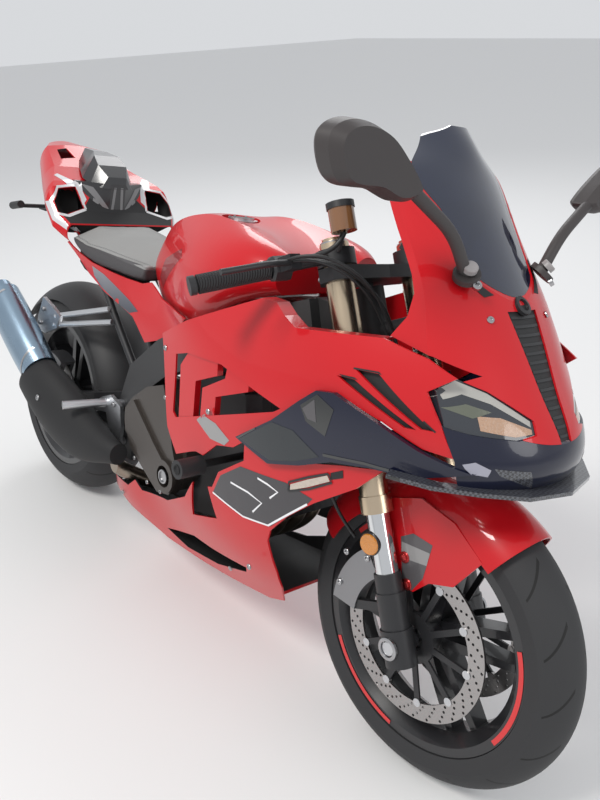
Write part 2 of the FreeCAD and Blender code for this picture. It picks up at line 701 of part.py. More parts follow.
def winglets():
    blade = plan_plate(CHIN_BLADE, 664, 671)
    chin = nose_body(0).cut(nose_body(PANEL)).common(side_plate(CHIN_OUTLINE, -300, 300)).cut(lamp_holes())
    wing = panel(WING_OUTLINE, 10, 10 - SEAT_GAP)
    return [wing, mirrored(wing), fused([blade, chin])]


# Tank, seat and tail: cross sections along the machine
# Columns: x, bottom z, half width there, widest z, half width, shoulder z, half width, top z
TANK_SECTIONS = (
    (502, 764, 72, 792, 84, 852, 66, 872),
    (560, 728, 92, 796, 108, 910, 82, 928),
    (640, 716, 112, 808, 136, 945, 94, 955),
    (730, 724, 130, 822, 164, 964, 98, 952),
    (850, 778, 148, 862, 184, 962, 104, 944),
    (950, 828, 146, 880, 176, 944, 96, 930),
    (1020, 852, 120, 880, 142, 912, 78, 908),
)
SEAT_REAR = 187.0
SEAT_SECTIONS = (
    (501.7, 766, 106, 774, 116, 802, 86, 842),
    (440, 765, 118, 776, 129, 792, 102, 838),
    (376, 767, 127, 780, 136, 800, 114, 836),
    (278, 773, 135, 790, 145, 814, 122, 834),
    (222, 786, 138, 806, 150, 834, 126, 850),
    (SEAT_REAR, 800, 136, 828, 150, 856, 122, 884),
)
# Hump behind the seat: flat-sided, with a flat top that narrows to the rear
# Columns: x, base z, half width there, top z, half width there
HUMP_SECTIONS = (
    (152, 946, 30, 958, 22),
    (142, 946, 46, 976, 28),
    (110, 952, 64, 1004, 43),
    (76, 965, 71, 1027, 38),
    (37, 980, 58, 1036, 20),
    (-40, 990, 30, 1038, 8),
)
# Foot of the hump, which fans out between the two openings: x and half width at each corner
FAN_LOW = (878, ((144, 22), (139, 64), (100, 72), (60, 72)))
FAN_HIGH = (958, ((152, 22), (106, 98), (72, 104), (40, 80)))
# Tail, ruled between its sections; columns as the tank's
TAIL_SECTIONS = (
    (198, 800, 118, 830, 158, 846, 150, 846),
    (150, 820, 115, 868, 186, 884, 174, 884),
    (108, 835, 110, 906, 189, 942, 170, 942),
    (90, 842, 108, 916, 184, 954, 160, 954),
    (0, 870, 90, 945, 150, 985, 118, 985),
    (-121, 915, 60, 985, 105, 1030, 84, 1037),
    (-190, 952, 30, 1000, 60, 1036, 46, 1044),
)
SCOOP = [(-99, 890), (-150, 876), (-175, 880), (-177, 905), (-157, 936), (-108, 942)]
TAIL_SLOT = [(-52, 30), (-44, 78), (-96, 66), (-104, 34)]


def body_loft(sections, inset=0.0, ruled=False):
    wires = []
    for x, z0, w0, z1, w1, z2, w2, z3 in sections:
        w0, w1, w2 = w0 - inset, w1 - inset, w2 - inset
        z0, z2, z3 = z0 + inset, z2 - inset, z3 - inset
        right = Part.Arc(vec(x, -w0, z0), vec(x, -w1, z1), vec(x, -w2, z2)).toShape()
        if abs(z3 - z2) < 0.5:
            top = Part.LineSegment(vec(x, -w2, z2), vec(x, w2, z2)).toShape()
        else:
            top = Part.Arc(vec(x, -w2, z2), vec(x, 0, z3), vec(x, w2, z2)).toShape()
        left = Part.Arc(vec(x, w2, z2), vec(x, w1, z1), vec(x, w0, z0)).toShape()
        floor = Part.LineSegment(vec(x, w0, z0), vec(x, -w0, z0)).toShape()
        wires.append(Part.Wire([right, top, left, floor]))
    return lofted(wires, ruled)


CAP_X, CAP_Z = 712.0, 949.0


def tank():
    well = Part.makeCylinder(44, 60, vec(CAP_X, 0, CAP_Z - 6), vec(-0.05, 0, 1))
    posts = [Part.makeCylinder(12, 50, vec(900, side * 114, 765)) for side in (-1, 1)]
    return fused([body_loft(TANK_SECTIONS)] + posts).cut(fused([well, frame()]))


def tank_cap():
    base = Part.makeCylinder(38, 8, vec(CAP_X, 0, CAP_Z - 5.7), vec(-0.05, 0, 1))
    lid = Part.makeCylinder(30, 6, vec(CAP_X, 0, CAP_Z + 1.5), vec(-0.05, 0, 1))
    return fused([base, lid])


# Frame, subframe, swingarm
# Columns: x, y, z, half thickness, half height, slope of the section
SPAR = (
    (1062, 58, 806, 16, 46, -20),
    (960, 104, 764, 18, 46, -15),
    (800, 132, 698, 18, 46, -15),
    (660, 136, 622, 18, 44, -25),
    (545, 132, 534, 16, 42, -50),
    (505, 130, 440, 15, 42, -75),
    (500, 130, 312, 15, 36, -90),
)


@lru_cache(None)
def frame_pieces():
    # Steering head with its gusset, the two spars let into it, and the cross tube between their feet
    tube_length = TOP_CLAMP[0] - LOWER_CLAMP[1] - 16
    head = fork_place(Part.makeCylinder(HEAD_R, tube_length, vec(0, 0, AXLE_S + LOWER_CLAMP[1] + 8)))
    bore = fork_place(Part.makeCylinder(STEM_R + PIN_GAP, 600, vec(0, 0, AXLE_S + LOWER_CLAMP[0] - 100)))
    head = fused([head, box((1040, 1120), (-50, 50), (770, 850))]).cut(bore)
    pivot = cylinder_y(PIVOT_X, PIVOT_Z, PIVOT_R + PIN_GAP, -200, 200)
    spars = [largest(beam(SPAR, side).cut(fused([head, bore, pivot]))) for side in (-1, 1)]
    cross = box((478, 530), (-130, 130), (312, 330)).cut(fused(spars))
    return [head, largest(cross)] + spars


@lru_cache(None)
def frame():
    return fused(frame_pieces())


SUBFRAME_R = 12.0


@lru_cache(None)
def subframe_tubes(room):
    parts = []
    for side in (-1, 1):
        parts.append(tube([(585, side * 118, 572), (500, side * 100, 690), (330, side * 88, 745),
                           (170, side * 80, 776), (40, side * 72, 838), (-130, side * 52, 912)], SUBFRAME_R + room))
        parts.append(tube([(515, side * 112, 500), (330, side * 94, 640), (170, side * 80, 776)], 10 + room))
    parts.append(bar((170, -80, 776), (170, 80, 776), 10 + room))
    parts.append(bar((-100, -56, 901), (-100, 56, 901), 9 + room))
    return fused(parts)


@lru_cache(None)
def subframe():
    return largest(subframe_tubes(0).cut(frame()))


ARM_SECTIONS = (
    (0, BEAM_Y, REAR_Z, 14, 30, 0),
    (120, BEAM_Y, REAR_Z + 14, 14, 34, 0),
    (330, BEAM_Y - 4, 384, 15, 44, 0),
    (440, BEAM_Y - 22, 420, 15, 44, 0),
)


@lru_cache(None)
def swingarm():
    parts = [beam(ARM_SECTIONS, side) for side in (-1, 1)]
    parts.append(box((372, 450), (-112, 112), (352, 430)))
    for side in (-1, 1):
        parts.append(side_plate([(430, 360), (PIVOT_X, PIVOT_Z - 20), (PIVOT_X + 18, PIVOT_Z),
                                 (PIVOT_X, PIVOT_Z + 20), (430, 452)], *sorted((side * 78, side * 103))))
    tie = cylinder_y(PIVOT_X, PIVOT_Z, 20, -114.7, 114.7)
    bosses = [cylinder_y(SPOOL_X, REAR_Z + SPOOL_RISE, 11, BEAM_Y, SPOOL_Y)]
    bosses.append(mirrored(bosses[0]))
    shape = fused(parts + [tie] + bosses)
    thread = cylinder_y(SPOOL_X, REAR_Z + SPOOL_RISE, SPOOL_THREAD_R, SPOOL_Y - SPOOL_DEPTH, SPOOL_Y + 1)
    shape = shape.cut(fused([thread, mirrored(thread)]))
    shape = shape.cut(cylinder_y(PIVOT_X, PIVOT_Z, PIVOT_R + PIN_GAP, -200, 200))
    shape = shape.cut(cylinder_y(0, REAR_Z, REAR_AXLE_R + PIN_GAP, -200, 200))
    run = chain_loop(CHAIN_HALF_HEIGHT + 4)[0]
    channel = Part.Face(run).cut(Part.Face(chain_loop(-CHAIN_HALF_HEIGHT - 4)[0])).extrude(vec(0, 24, 0))
    channel.translate(vec(0, CHAIN_Y - 12, 0))
    return shape.cut(channel)


def rear_axle():
    shaft = cylinder_y(0, REAR_Z, REAR_AXLE_R, -BEAM_Y - 22, BEAM_Y + 22)
    nut = cylinder_y(0, REAR_Z, REAR_AXLE_R + 9, BEAM_Y + 14, BEAM_Y + 26)
    right_nut = cylinder_y(0, REAR_Z, REAR_AXLE_R + 9, -BEAM_Y - 26, -BEAM_Y - 14)
    return fused([shaft, nut, right_nut])


def pivot_shaft():
    return cylinder_y(PIVOT_X, PIVOT_Z, PIVOT_R, -150, 150)


# Engine and what hangs on it
ENGINE_OUTLINE = [(588, 300), (770, 270), (880, 300), (925, 400), (966, 460), (966, 590), (890, 640), (740, 615),
                  (640, 545), (575, 480)]


@lru_cache(None)
def engine():
    case = side_plate(ENGINE_OUTLINE, -112, 112)
    top = side_plate([(740, 610), (890, 610), (920, 690), (790, 690)], -92, 92)
    pocket = Part.Face(chain_loop(CHAIN_HALF_HEIGHT + 9)[0]).extrude(vec(0, 60, 0))
    floor = CHAIN_Y - CHAIN_INSIDE / 2 - CHAIN_PLATE - RUN_GAP
    pocket.translate(vec(0, floor, 0))
    mounts = pair(cylinder_y(820, 676, 12, 80, 125)) + pair(box((520, 600), (36, 62), (312, 330)))
    return largest(fused([fused([case, top]).cut(pocket), pinion(floor)] + mounts).cut(frame()))


CLUTCH_INNER = [(580, 480), (640, 535), (714, 565), (753, 520), (787, 450), (800, 382), (767, 328), (717, 316),
                (640, 345), (582, 400)]
CLUTCH_OUTLINE = [(580, 500), (644, 550), (714, 577), (742, 518), (766, 445), (795, 382), (767, 323), (717, 310),
                  (669, 333), (585, 375), (552, 427), (552, 467)]
CLUTCH_PLATE = [(601, 504), (701, 430), (749, 398), (725, 354), (647, 370), (571, 415), (565, 466)]
CLUTCH_FACE = -178.0
OIL_HOLE = (750, 365)


def engine_covers():
    inner_face = -112 - SEAT_GAP
    overhang = CLUTCH_FACE + 26
    clutch = fused([side_plate(CLUTCH_INNER, overhang - 1, inner_face), side_plate(CLUTCH_OUTLINE, CLUTCH_FACE, overhang),
                    side_plate(CLUTCH_PLATE, CLUTCH_FACE - 8, CLUTCH_FACE + 1)])
    x, z = OIL_HOLE
    boss = cylinder_y(x, z, 40, CLUTCH_FACE - 8, CLUTCH_FACE + 1)
    clutch = fused([clutch, boss]).cut(cylinder_y(x, z, 26, CLUTCH_FACE - 20, CLUTCH_FACE + 16))
    left = side_plate([(680, 330), (800, 310), (850, 420), (790, 520), (700, 520)], -inner_face, 165)
    return [clutch.cut(frame()), left]


def radiator():
    core = side_plate([(1010, 640), (1050, 655), (1092, 395), (1050, 385)], -150, 150)
    tanks = side_plate([(1004, 648), (1054, 663), (1096, 390), (1048, 380)], -172, -150)
    stays = [bar((1030, side * 158, 645), (985, side * 98, 745), 6) for side in (-1, 1)]
    return fused([core, tanks, mirrored(tanks)] + stays).cut(frame())


def exhaust_headers():
    parts = []
    for side in (-1, 1):
        for inset in (28, 78):
            parts.append(tube([(966.3, side * inset, 545), (1002, side * inset, 545), (1012, side * inset, 430),
                               (1000, side * inset * 0.9, 320), (920, side * inset * 0.6, 248),
                               (700, side * inset * 0.4, 240)], 16))
    parts.append(side_plate([(560, 218), (720, 218), (720, 262), (560, 262)], -46, 46))
    parts.append(tube([(590, -20, 240), (540, -90, 246), (500, -165, 285), (508, -196, 340)], 20))
    behind_guard = box((400, 700), (-300, GUARD_FACE + SEAT_GAP), (200, 600))
    return fused(parts).cut(behind_guard)


def oval(x, y, z, half_y, half_z, slope):
    ellipse = Part.Ellipse(vec(0, 0, 0), half_z, half_y)
    wire = Part.Wire([ellipse.toShape()])
    wire.rotate(vec(0, 0, 0), vec(0, 1, 0), -90)
    wire.rotate(vec(0, 0, 0), vec(0, 1, 0), slope)
    wire.translate(vec(x, y, z))
    return wire


# Columns: x, y, z, half width, half height, slope of the section
CAN = ((176, -228, 452, 46, 58, 35), (60, -236, 533, 49, 61, 35), (-46, -242, 607, 46, 58, 35))
TAILPIPE = ((-46, -242, 607, 36, 46, 35), (-70, -244, 624, 34, 43, 35))
GUARD = ((156, -226, 430, 50, 74, 30), (270, -216, 382, 55, 88, 20), (400, -206, 345, 50, 74, 8),
         (505, -206, 348, 36, 44, 0), (570, -200, 352, 24, 28, 0))


@lru_cache(None)
def silencer():
    can = lofted([oval(*section) for section in CAN], False)
    return fused([can, lofted([oval(*section) for section in TAILPIPE])])


GUARD_FACE = -174.0


@lru_cache(None)
def silencer_shield():
    inner_side = box((0, 700), (GUARD_FACE, -100), (200, 600))
    return lofted([oval(*section) for section in GUARD], False).cut(silencer()).cut(inner_side)


def rear_hugger():
    t = REAR_TYRE
    hub = t.radius - t.crown
    inner, outer = t.crown + FENDER_GAP, t.crown + FENDER_GAP + PANEL
    reach = math.radians(56)

    def arc(radius):
        pts = [vec(hub + radius * math.cos(a), radius * math.sin(a), REAR_Z) for a in (-reach, 0, reach)]
        return Part.Arc(*pts).toShape(), pts[0], pts[2]
    edge_out, a0, a1 = arc(outer)
    edge_in, b0, b1 = arc(inner)
    wire = Part.Wire([edge_out, Part.LineSegment(a1, b1).toShape(), edge_in, Part.LineSegment(b0, a0).toShape()])
    shell = Part.Face(wire).revolve(vec(0, 0, REAR_Z), vec(0, 1, 0), -130)
    shell.rotate(vec(0, 0, REAR_Z), vec(0, 1, 0), -16)
    tabs = [bar((266, side * 86, 408), (262, side * 134, 394), 6) for side in (-1, 1)]
    clear = t.half_width + RUN_GAP + 1
    running = turned([(0, -clear), (t.radius - 38, -clear), (t.radius - 38, clear), (0, clear)], 0, REAR_Z)
    return largest(fused([shell] + tabs).cut(swingarm()).cut(running))


def rear_shock():
    body = bar((470, 0, 640), (420, 0, 452), 22)
    spring = bar((462, 0, 612), (432, 0, 500), 32)
    foot = box((398, 442), (-18, 18), (430.3, 470))
    return fused([body, spring, foot])


def rear_caliper():
    y0, y1 = -REAR_DISC_Y - 26, -REAR_DISC_Y + 20
    start, spread = 118, 40
    low = 85
    body = turned([(low, y0), (REAR_DISC_R + 16, y0), (REAR_DISC_R + 16, y1), (low, y1)], 0, REAR_Z, 180 - start, spread)
    bracket = side_plate([(-22, REAR_Z - 16), (22, REAR_Z - 16), (56, REAR_Z + 92), (-10, REAR_Z + 104)],
                         SEAT_GAP - BEAM_Y + BEAM_THICK / 2, y0)
    half = DISC_THICK / 2 + RUN_GAP + SEAT_GAP
    slot = turned([(50, -REAR_DISC_Y - half), (REAR_DISC_R + RUN_GAP, -REAR_DISC_Y - half),
                   (REAR_DISC_R + RUN_GAP, -REAR_DISC_Y + half), (60, -REAR_DISC_Y + half)], 0, REAR_Z,
                  180 - start - 5, spread + 10)
    return fused([body.cut(slot), bracket]).cut(cylinder_y(0, REAR_Z, REAR_AXLE_R + PIN_GAP, -200, 200))


# Seat and tail
def rider_seat():
    return body_loft(SEAT_SECTIONS)


@lru_cache(None)
def seat_cowl():
    def frame_wire(x, z0, w0, z1, w1):
        corners = [vec(x, -w0, z0), vec(x, -w1, z1), vec(x, w1, z1), vec(x, w0, z0)]
        return Part.makePolygon(corners + corners[:1])

    def plan_wire(z, corners):
        ring = [vec(x, y, z) for x, y in corners] + [vec(x, -y, z) for x, y in reversed(corners)]
        return Part.makePolygon(ring + ring[:1])
    hump = lofted([frame_wire(*section) for section in HUMP_SECTIONS])
    return fused([hump, lofted([plan_wire(*FAN_LOW), plan_wire(*FAN_HIGH)])])


@lru_cache(None)
def tail_cowl():
    end = TAIL_SECTIONS[-1][0]
    hollow = body_loft(TAIL_SECTIONS, PANEL, True).common(box((end + PANEL, 300), (-300, 300), (700, 1200)))
    shell = body_loft(TAIL_SECTIONS, 0, True).cut(hollow)
    open_front = box((186, 220), (-200, 200), (780, 880))
    scoop = front_plate(SCOOP, 70, 220)
    slot = plan_plate(TAIL_SLOT, 1000, 1060)
    holes = [scoop, mirrored(scoop), slot, mirrored(slot), open_front, subframe_tubes(SEAT_GAP / 2)]
    for shift in (-SEAT_GAP / 2, SEAT_GAP / 2):
        hump_room = seat_cowl().copy()
        hump_room.translate(vec(0, shift, 0))
        holes.append(hump_room)
    seat_room = body_loft(SEAT_SECTIONS, -SEAT_GAP)
    seat_room.translate(vec(-SEAT_GAP, 0, 0))
    return largest(shell.cut(fused(holes)).cut(seat_room))


# Side covers: half width of their skin at each station and height
COVER_X = (110, 180, 260, 400, 550, 650, 780)
COVER_ROWS = (
    (620, (104, 108, 112, 124, 136, 146, 156)),
    (700, (116, 121, 128, 132, 134, 140, 160)),
    (780, (146, 146, 142, 134, 124, 140, 172)),
    (860, (172, 160, 150, 138, 128, 140, 176)),
)
COVER_OUTLINE = [(165, 803), (257, 738), (339, 706), (487, 677), (556, 630), (628, 656), (760, 742), (613, 750),
                 (547, 775), (510, 764), (440, 763), (376, 765), (278, 771), (222, 784), (188, 797), (172, 807)]
COVER_BOSSES = ((400, 722, 92.9), (230, 764, 83.5))


def side_covers():
    skin = skin_slab(0, PANEL, COVER_X, COVER_ROWS).common(side_plate(COVER_OUTLINE, -400, -10))
    room = skin_slab(-PANEL / 2, 100, COVER_X, COVER_ROWS)
    bosses = [cylinder_y(x, z, 9, -200, -inner - SUBFRAME_R - SEAT_GAP).common(room)
              for x, z, inner in COVER_BOSSES]
    return group(pair(largest(fused([skin] + bosses).cut(fused([tank(), frame()])).cut(tail_cowl()))))


def tail_light():
    end = TAIL_SECTIONS[-1][0]
    return box((end - SEAT_GAP - 12, end - SEAT_GAP), (-34, 34), (972, 1014))


def plate_holder():
    stem = tube([(-120, 0, 926), (-165, 0, 872), (-215, 0, 842)], 12)
    arms = bar((-180, -150, 850), (-180, 150, 850), 6)
    lamps = [bar((-206, side * 150, 846), (-146, side * 150, 858), 11) for side in (-1, 1)]
    pad = box((-225, -180), (-60, 60), (836, 842))
    return largest(fused([stem, arms, pad] + lamps).cut(tail_cowl()))


# Rider's controls below
HEEL_GUARD = [(395, 524), (455, 533), (466, 515), (426, 470), (374, 435), (349, 403), (311, 395), (317, 435),
              (353, 474), (369, 502)]
HEEL_SLOT = [(403, 513), (444, 520), (420, 490), (386, 468)]
FOOT_BRACKET = [(418, 449), (461, 468), (513, 454), (522, 404), (517, 344), (476, 342), (460, 381), (443, 416),
                (395, 404), (341, 371), (339, 394)]
HANGER = [(72, 633), (137, 616), (179, 603), (160, 565), (86, 531), (36, 533), (40, 568)]
BRACKET_Y = (-170.0, -160.0)


def footrests():
    guard_face, plate_face = BRACKET_Y
    heel = side_plate(HEEL_GUARD, guard_face - 2, plate_face - 2).cut(side_plate(HEEL_SLOT, -200, -100))
    bracket = side_plate(FOOT_BRACKET, guard_face, plate_face)
    bosses = [cylinder_y(x, z, 11, plate_face - 1, -144) for x, z in ((484, 450), (496, 352))]
    peg = bar((440, -162, 440), (408, -272, 436), 11)
    rider = fused([heel, bracket, peg] + bosses)
    arms = [bar((326, -108, 655), (146, -171, 595), 8), bar((350, -111, 626), (140, -171, 569), 8)]
    passenger = fused(arms + [side_plate(HANGER, -176, -166)])
    return group([largest(piece.cut(frame_with_lug())) for piece in pair(rider)]
                 + pair(largest(passenger.cut(subframe_tubes(SEAT_GAP / 2)))))


SLIDER_X, SLIDER_Z = 948.0, 484.0


def frame_sliders():
    puck = cylinder_y(SLIDER_X, SLIDER_Z, 20, -285, -226)
    post = cylinder_y(SLIDER_X, SLIDER_Z, 8, -226, -112.3)
    return group(pair(fused([puck, post])))


# Mirrors and dash
MIRROR_REAR = [(-228, 1096), (-237, 1106), (-279, 1142), (-310, 1163), (-353, 1176), (-395, 1172), (-414, 1158),
               (-411, 1125), (-395, 1102), (-320, 1092), (-242, 1083)]


def mirrors():
    cy = sum(y for y, z in MIRROR_REAR) / len(MIRROR_REAR)
    cz = sum(z for y, z in MIRROR_REAR) / len(MIRROR_REAR)

    def outline(x, grow):
        curve = Part.BSplineCurve()
        curve.interpolate([vec(x, cy + (y - cy) * grow, cz + (z - cz) * grow) for y, z in MIRROR_REAR],
                          PeriodicFlag=True)
        return Part.Wire([curve.toShape()])
    head = lofted([outline(1378, 0.97), outline(1386, 1.03), outline(1408, 1.0), outline(1424, 0.86)])
    stem = tube([(1424, -106, 976), (1420, -150, 1038), (1404, -262, 1106)], 10)
    foot = Part.makeCylinder(22, 10, vec(1424, -104, 972), vec(0.35, -0.45, 0.8))
    return group(pair(fused([head, stem, foot]).cut(nose_body(-SEAT_GAP))))


def dash():
    panel_box = box((1262, 1284), (-85, 85), (985, 1080))
    panel_box.rotate(vec(1270, 0, 985), vec(0, 1, 0), 25)
    return panel_box


def cowl_stay():
    # Tree of tubes on the steering head that holds the nose and the dash
    s = AXLE_S + 570
    root, fork = fork_point(HEAD_R - 3, 0, s), fork_point(150, 0, s)
    parts = []
    for side in (-1, 1):
        parts.append(bar(fork, (1500, side * 100, 905), 9))
        parts.append(bar(fork, (1425, side * 175, 945), 8))
    parts.append(bar(fork, (1294, 0, 1020), 8))
    branches = fused(parts).common(nose_body(PANEL + SEAT_GAP))
    return largest(fused([bar(root, fork, 16), branches]).cut(fused([frame(), dash()])))


def belly_pan():
    floor = [(440, 202), (520, 174), (693, 160), (845, 176), (959, 192), (1106, 218)]
    outline = floor + [(x, z + 2 * PANEL) for x, z in reversed(floor)]
    inside = skin_slab(-2 * (PANEL + SEAT_GAP), 300)
    return side_plate(outline, -200, 200).common(inside).common(mirrored(inside))


# Side stand: leg, foot and the lug that carries it
STAND_PIVOT = vec(505, 168, 300)
STAND_AXIS = vec(-0.084, 0.935, 0.343).normalize()
STAND_LEG_R = 11.0
STAND_PIN_R = 8.0
STAND_EYE = 9.0
LUG_THICK = 7.0
FOOT_X, FOOT_Y = 590.0, 322.0
FOOT_THICK = 8.0
FLOOR_SLOPE = math.tan(math.radians(LEAN))


def along_pin(offset, length, radius):
    return Part.makeCylinder(radius, length, STAND_PIVOT + STAND_AXIS * offset, STAND_AXIS)


def side_stand():
    floor = FOOT_Y * FLOOR_SLOPE
    eye = along_pin(-STAND_EYE, 2 * STAND_EYE, 20)
    shaft = bar(tuple(STAND_PIVOT), (FOOT_X, FOOT_Y, floor + FOOT_THICK), STAND_LEG_R)
    shaft = shaft.cut(along_pin(STAND_EYE, 40, 30)).cut(along_pin(-STAND_EYE - 40, 40, 30))
    pad = Part.makeCylinder(26, FOOT_THICK)
    pad.rotate(vec(0, 0, 0), vec(1, 0, 0), LEAN)
    pad.translate(vec(FOOT_X, FOOT_Y, floor))
    return fused([shaft, eye, pad]).cut(along_pin(-60, 120, STAND_PIN_R + PIN_GAP))


def stand_lug():
    reach = STAND_EYE + SEAT_GAP
    far = reach + LUG_THICK
    parts = [along_pin(reach, LUG_THICK, 17), along_pin(-far, LUG_THICK, 17), along_pin(-far, 2 * far, STAND_PIN_R)]
    bridge = fused([box((-17, 17), (-far, far), (23, 35)), box((-17, 17), (-far, -reach), (0, 35)),
                    box((-17, 17), (reach, far), (0, 35))])
    bridge.Placement = FreeCAD.Placement(STAND_PIVOT, FreeCAD.Rotation(vec(0, 1, 0), STAND_AXIS))
    arm = bar((504, 132, 328), tuple(STAND_PIVOT + vec(0, -10, 27)), 9)
    return fused(parts + [bridge, arm])


@lru_cache(None)
def frame_with_lug():
    head, cross, right, left = frame_pieces()
    return group([head, cross, right, fused([left, stand_lug().cut(cross)])])


NODES = {
    "front_tyre": lambda: tyre_solid(FRONT_TYRE),
    "rear_tyre": lambda: tyre_solid(REAR_TYRE),
    "front_rim": lambda: rim_solid(FRONT_TYRE, FRONT_AXLE_R, FRONT_BLADE),
    "rear_rim": lambda: rim_solid(REAR_TYRE, REAR_AXLE_R, REAR_BLADE),
    "front_discs": lambda: group([front_disc(side) for side in (-1, 1)]),
    "rear_disc": rear_disc,
    "rear_sprocket": rear_sprocket,
    "chain": chain,
    "fork_tubes": fork_tubes,
    "fork_sliders": fork_sliders,
    "fork_bottoms": fork_bottoms,
    "front_axle": front_axle,
    "front_calipers": lambda: group([front_caliper(side) for side in (-1, 1)]),
    "triple_clamps": triple_clamps,
    "handlebars": handlebars,
    "grips": grips,
    "controls": controls,
    "brake_reservoir": reservoir,
    "front_fender": front_fender,
    "fairing_sides": lambda: group([half for piece in [fairing_side()] + vent_louvres() for half in pair(piece)]),
    "lower_fairings": lambda: group(pair(lower_fairing()) + [belly_pan()]),
    "nose_cowl": nose_cowl,
    "windscreen": windscreen,
    "headlights": headlights,
    "nose_duct": nose_duct,
    "winglets": lambda: group(winglets()),
    "tank": tank,
    "tank_cap": tank_cap,
    "rider_seat": rider_seat,
    "seat_cowl": seat_cowl,
    "tail_cowl": tail_cowl,
    "side_covers": side_covers,
    "tail_light": tail_light,
    "plate_holder": plate_holder,
    "frame": frame_with_lug,
    "subframe": subframe,
    "swingarm": swingarm,
    "rear_axle": rear_axle,
    "pivot_shaft": pivot_shaft,
    "rear_hugger": rear_hugger,
    "rear_shock": rear_shock,
    "rear_caliper": rear_caliper,
    "engine": engine,
    "engine_covers": lambda: group(engine_covers()),
    "radiator": radiator,
    "exhaust_headers": exhaust_headers,
    "silencer": silencer,
    "silencer_shield": silencer_shield,
    "footrests": footrests,
    "frame_sliders": frame_sliders,
    "mirrors": mirrors,
    "dash": dash,
    "cowl_stay": cowl_stay,
    "side_stand": side_stand,
}


def leaned(shape):
    shape = shape.copy()
    shape.rotate(vec(0, 0, 0), vec(1, 0, 0), -LEAN)
    return shape


if __name__ == "__main__":
    os.makedirs("parts", exist_ok=True)
    built = {}
    for name, make in NODES.items():
        built[name] = leaned(make())
        print(name, len(built[name].Solids), built[name].isValid(), flush=True)
    whole = FreeCAD.BoundBox()
    for shape in built.values():
        whole.add(shape.optimalBoundingBox(False))
    shift = vec(-(whole.XMin + whole.XMax) / 2, -(whole.YMin + whole.YMax) / 2, -whole.ZMin)
    print("shift", shift, "size", whole.XLength, whole.YLength, whole.ZLength)
    for name, shape in built.items():
        shape.translate(shift)
        shape.exportStep("parts/" + name + ".step")
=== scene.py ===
import math
import bmesh
import bpy
from mathutils import Matrix, Vector
from mathutils.bvhtree import BVHTree
from mathutils.geometry import delaunay_2d_cdt


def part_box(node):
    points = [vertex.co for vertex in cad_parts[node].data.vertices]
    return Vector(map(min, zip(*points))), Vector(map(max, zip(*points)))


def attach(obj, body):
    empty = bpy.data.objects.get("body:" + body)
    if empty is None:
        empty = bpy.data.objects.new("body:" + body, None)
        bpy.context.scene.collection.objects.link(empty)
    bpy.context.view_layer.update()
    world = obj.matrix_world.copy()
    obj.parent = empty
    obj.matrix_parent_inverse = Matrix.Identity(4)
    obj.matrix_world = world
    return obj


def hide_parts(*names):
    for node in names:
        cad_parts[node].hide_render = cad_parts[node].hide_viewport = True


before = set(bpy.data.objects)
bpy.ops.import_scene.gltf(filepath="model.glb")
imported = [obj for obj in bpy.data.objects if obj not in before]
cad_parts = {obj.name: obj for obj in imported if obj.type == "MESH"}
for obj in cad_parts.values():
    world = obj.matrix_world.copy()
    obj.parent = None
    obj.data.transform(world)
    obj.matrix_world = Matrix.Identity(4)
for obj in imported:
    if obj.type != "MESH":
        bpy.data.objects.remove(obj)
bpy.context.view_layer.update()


# The machine stands on its side stand, leaning to its left about the line on the floor under its tyres.
# Sizes of its pieces are in millimetres on the upright machine: x forward from the rear axle, y to the
# rider's left, z up. Here they are leaned over and set where the rear tyre lies.
LEAN = math.radians(12.2)
REAR_AXLE = (0.0, 0.0, 317.22)


def turned_over(x, y, z):
    return Vector((x, y * math.cos(LEAN) + z * math.sin(LEAN),
                   z * math.cos(LEAN) - y * math.sin(LEAN))) / 1000


low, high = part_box("rear_tyre")
set_down = (low + high) / 2 - turned_over(*REAR_AXLE)


def upright(x, y, z):
    return turned_over(x, y, z) + set_down


# The camera stands to the right and in front of the machine, at a standing person's eye height,
# and looks down at it with a slight roll, as the photograph does.
CAMERA_FROM_AXLE = Vector((2150.0, -847.0, 1359.0)) / 1000
LOOKS_TO, LOOKS_DOWN, ROLL = math.radians(140.2), math.radians(26.7), math.radians(-2.5)
FOCAL_PIXELS, LONG_SIDE, SENSOR_WIDTH = 784.0, 800.0, 36.0

forward = Vector((math.cos(LOOKS_DOWN) * math.cos(LOOKS_TO), math.cos(LOOKS_DOWN) * math.sin(LOOKS_TO),
                  -math.sin(LOOKS_DOWN)))
level = forward.cross(Vector((0, 0, 1))).normalized()
above = level.cross(forward)
right = level * math.cos(ROLL) + above * math.sin(ROLL)
top = above * math.cos(ROLL) - level * math.sin(ROLL)


def placed(name, data):
    thing = bpy.data.objects.new(name, data)
    bpy.context.scene.collection.objects.link(thing)
    return thing


camera = placed("camera", bpy.data.cameras.new("camera"))
camera.matrix_world = Matrix.Translation(CAMERA_FROM_AXLE + set_down) @ Matrix(
    (right, top, -forward)).transposed().to_4x4()
camera.data.sensor_width = SENSOR_WIDTH
camera.data.lens = SENSOR_WIDTH * FOCAL_PIXELS / LONG_SIDE
camera.data.clip_end = 60
bpy.context.scene.camera = camera


# Studio: a plain pale floor that runs on past the view, a wide soft lamp above the machine's right,
# two weaker ones in front and behind, and an evenly bright room all round that the lacquer reflects.
bpy.context.scene.view_settings.view_transform = "Standard"


def plain_nodes(name, values):
    # A material whose shader has these values
    material = bpy.data.materials.new(name)
    material.use_nodes = True
    shader = material.node_tree.nodes["Principled BSDF"]
    for socket, value in values.items():
        shader.inputs[socket].default_value = value
    return material, material.node_tree, shader


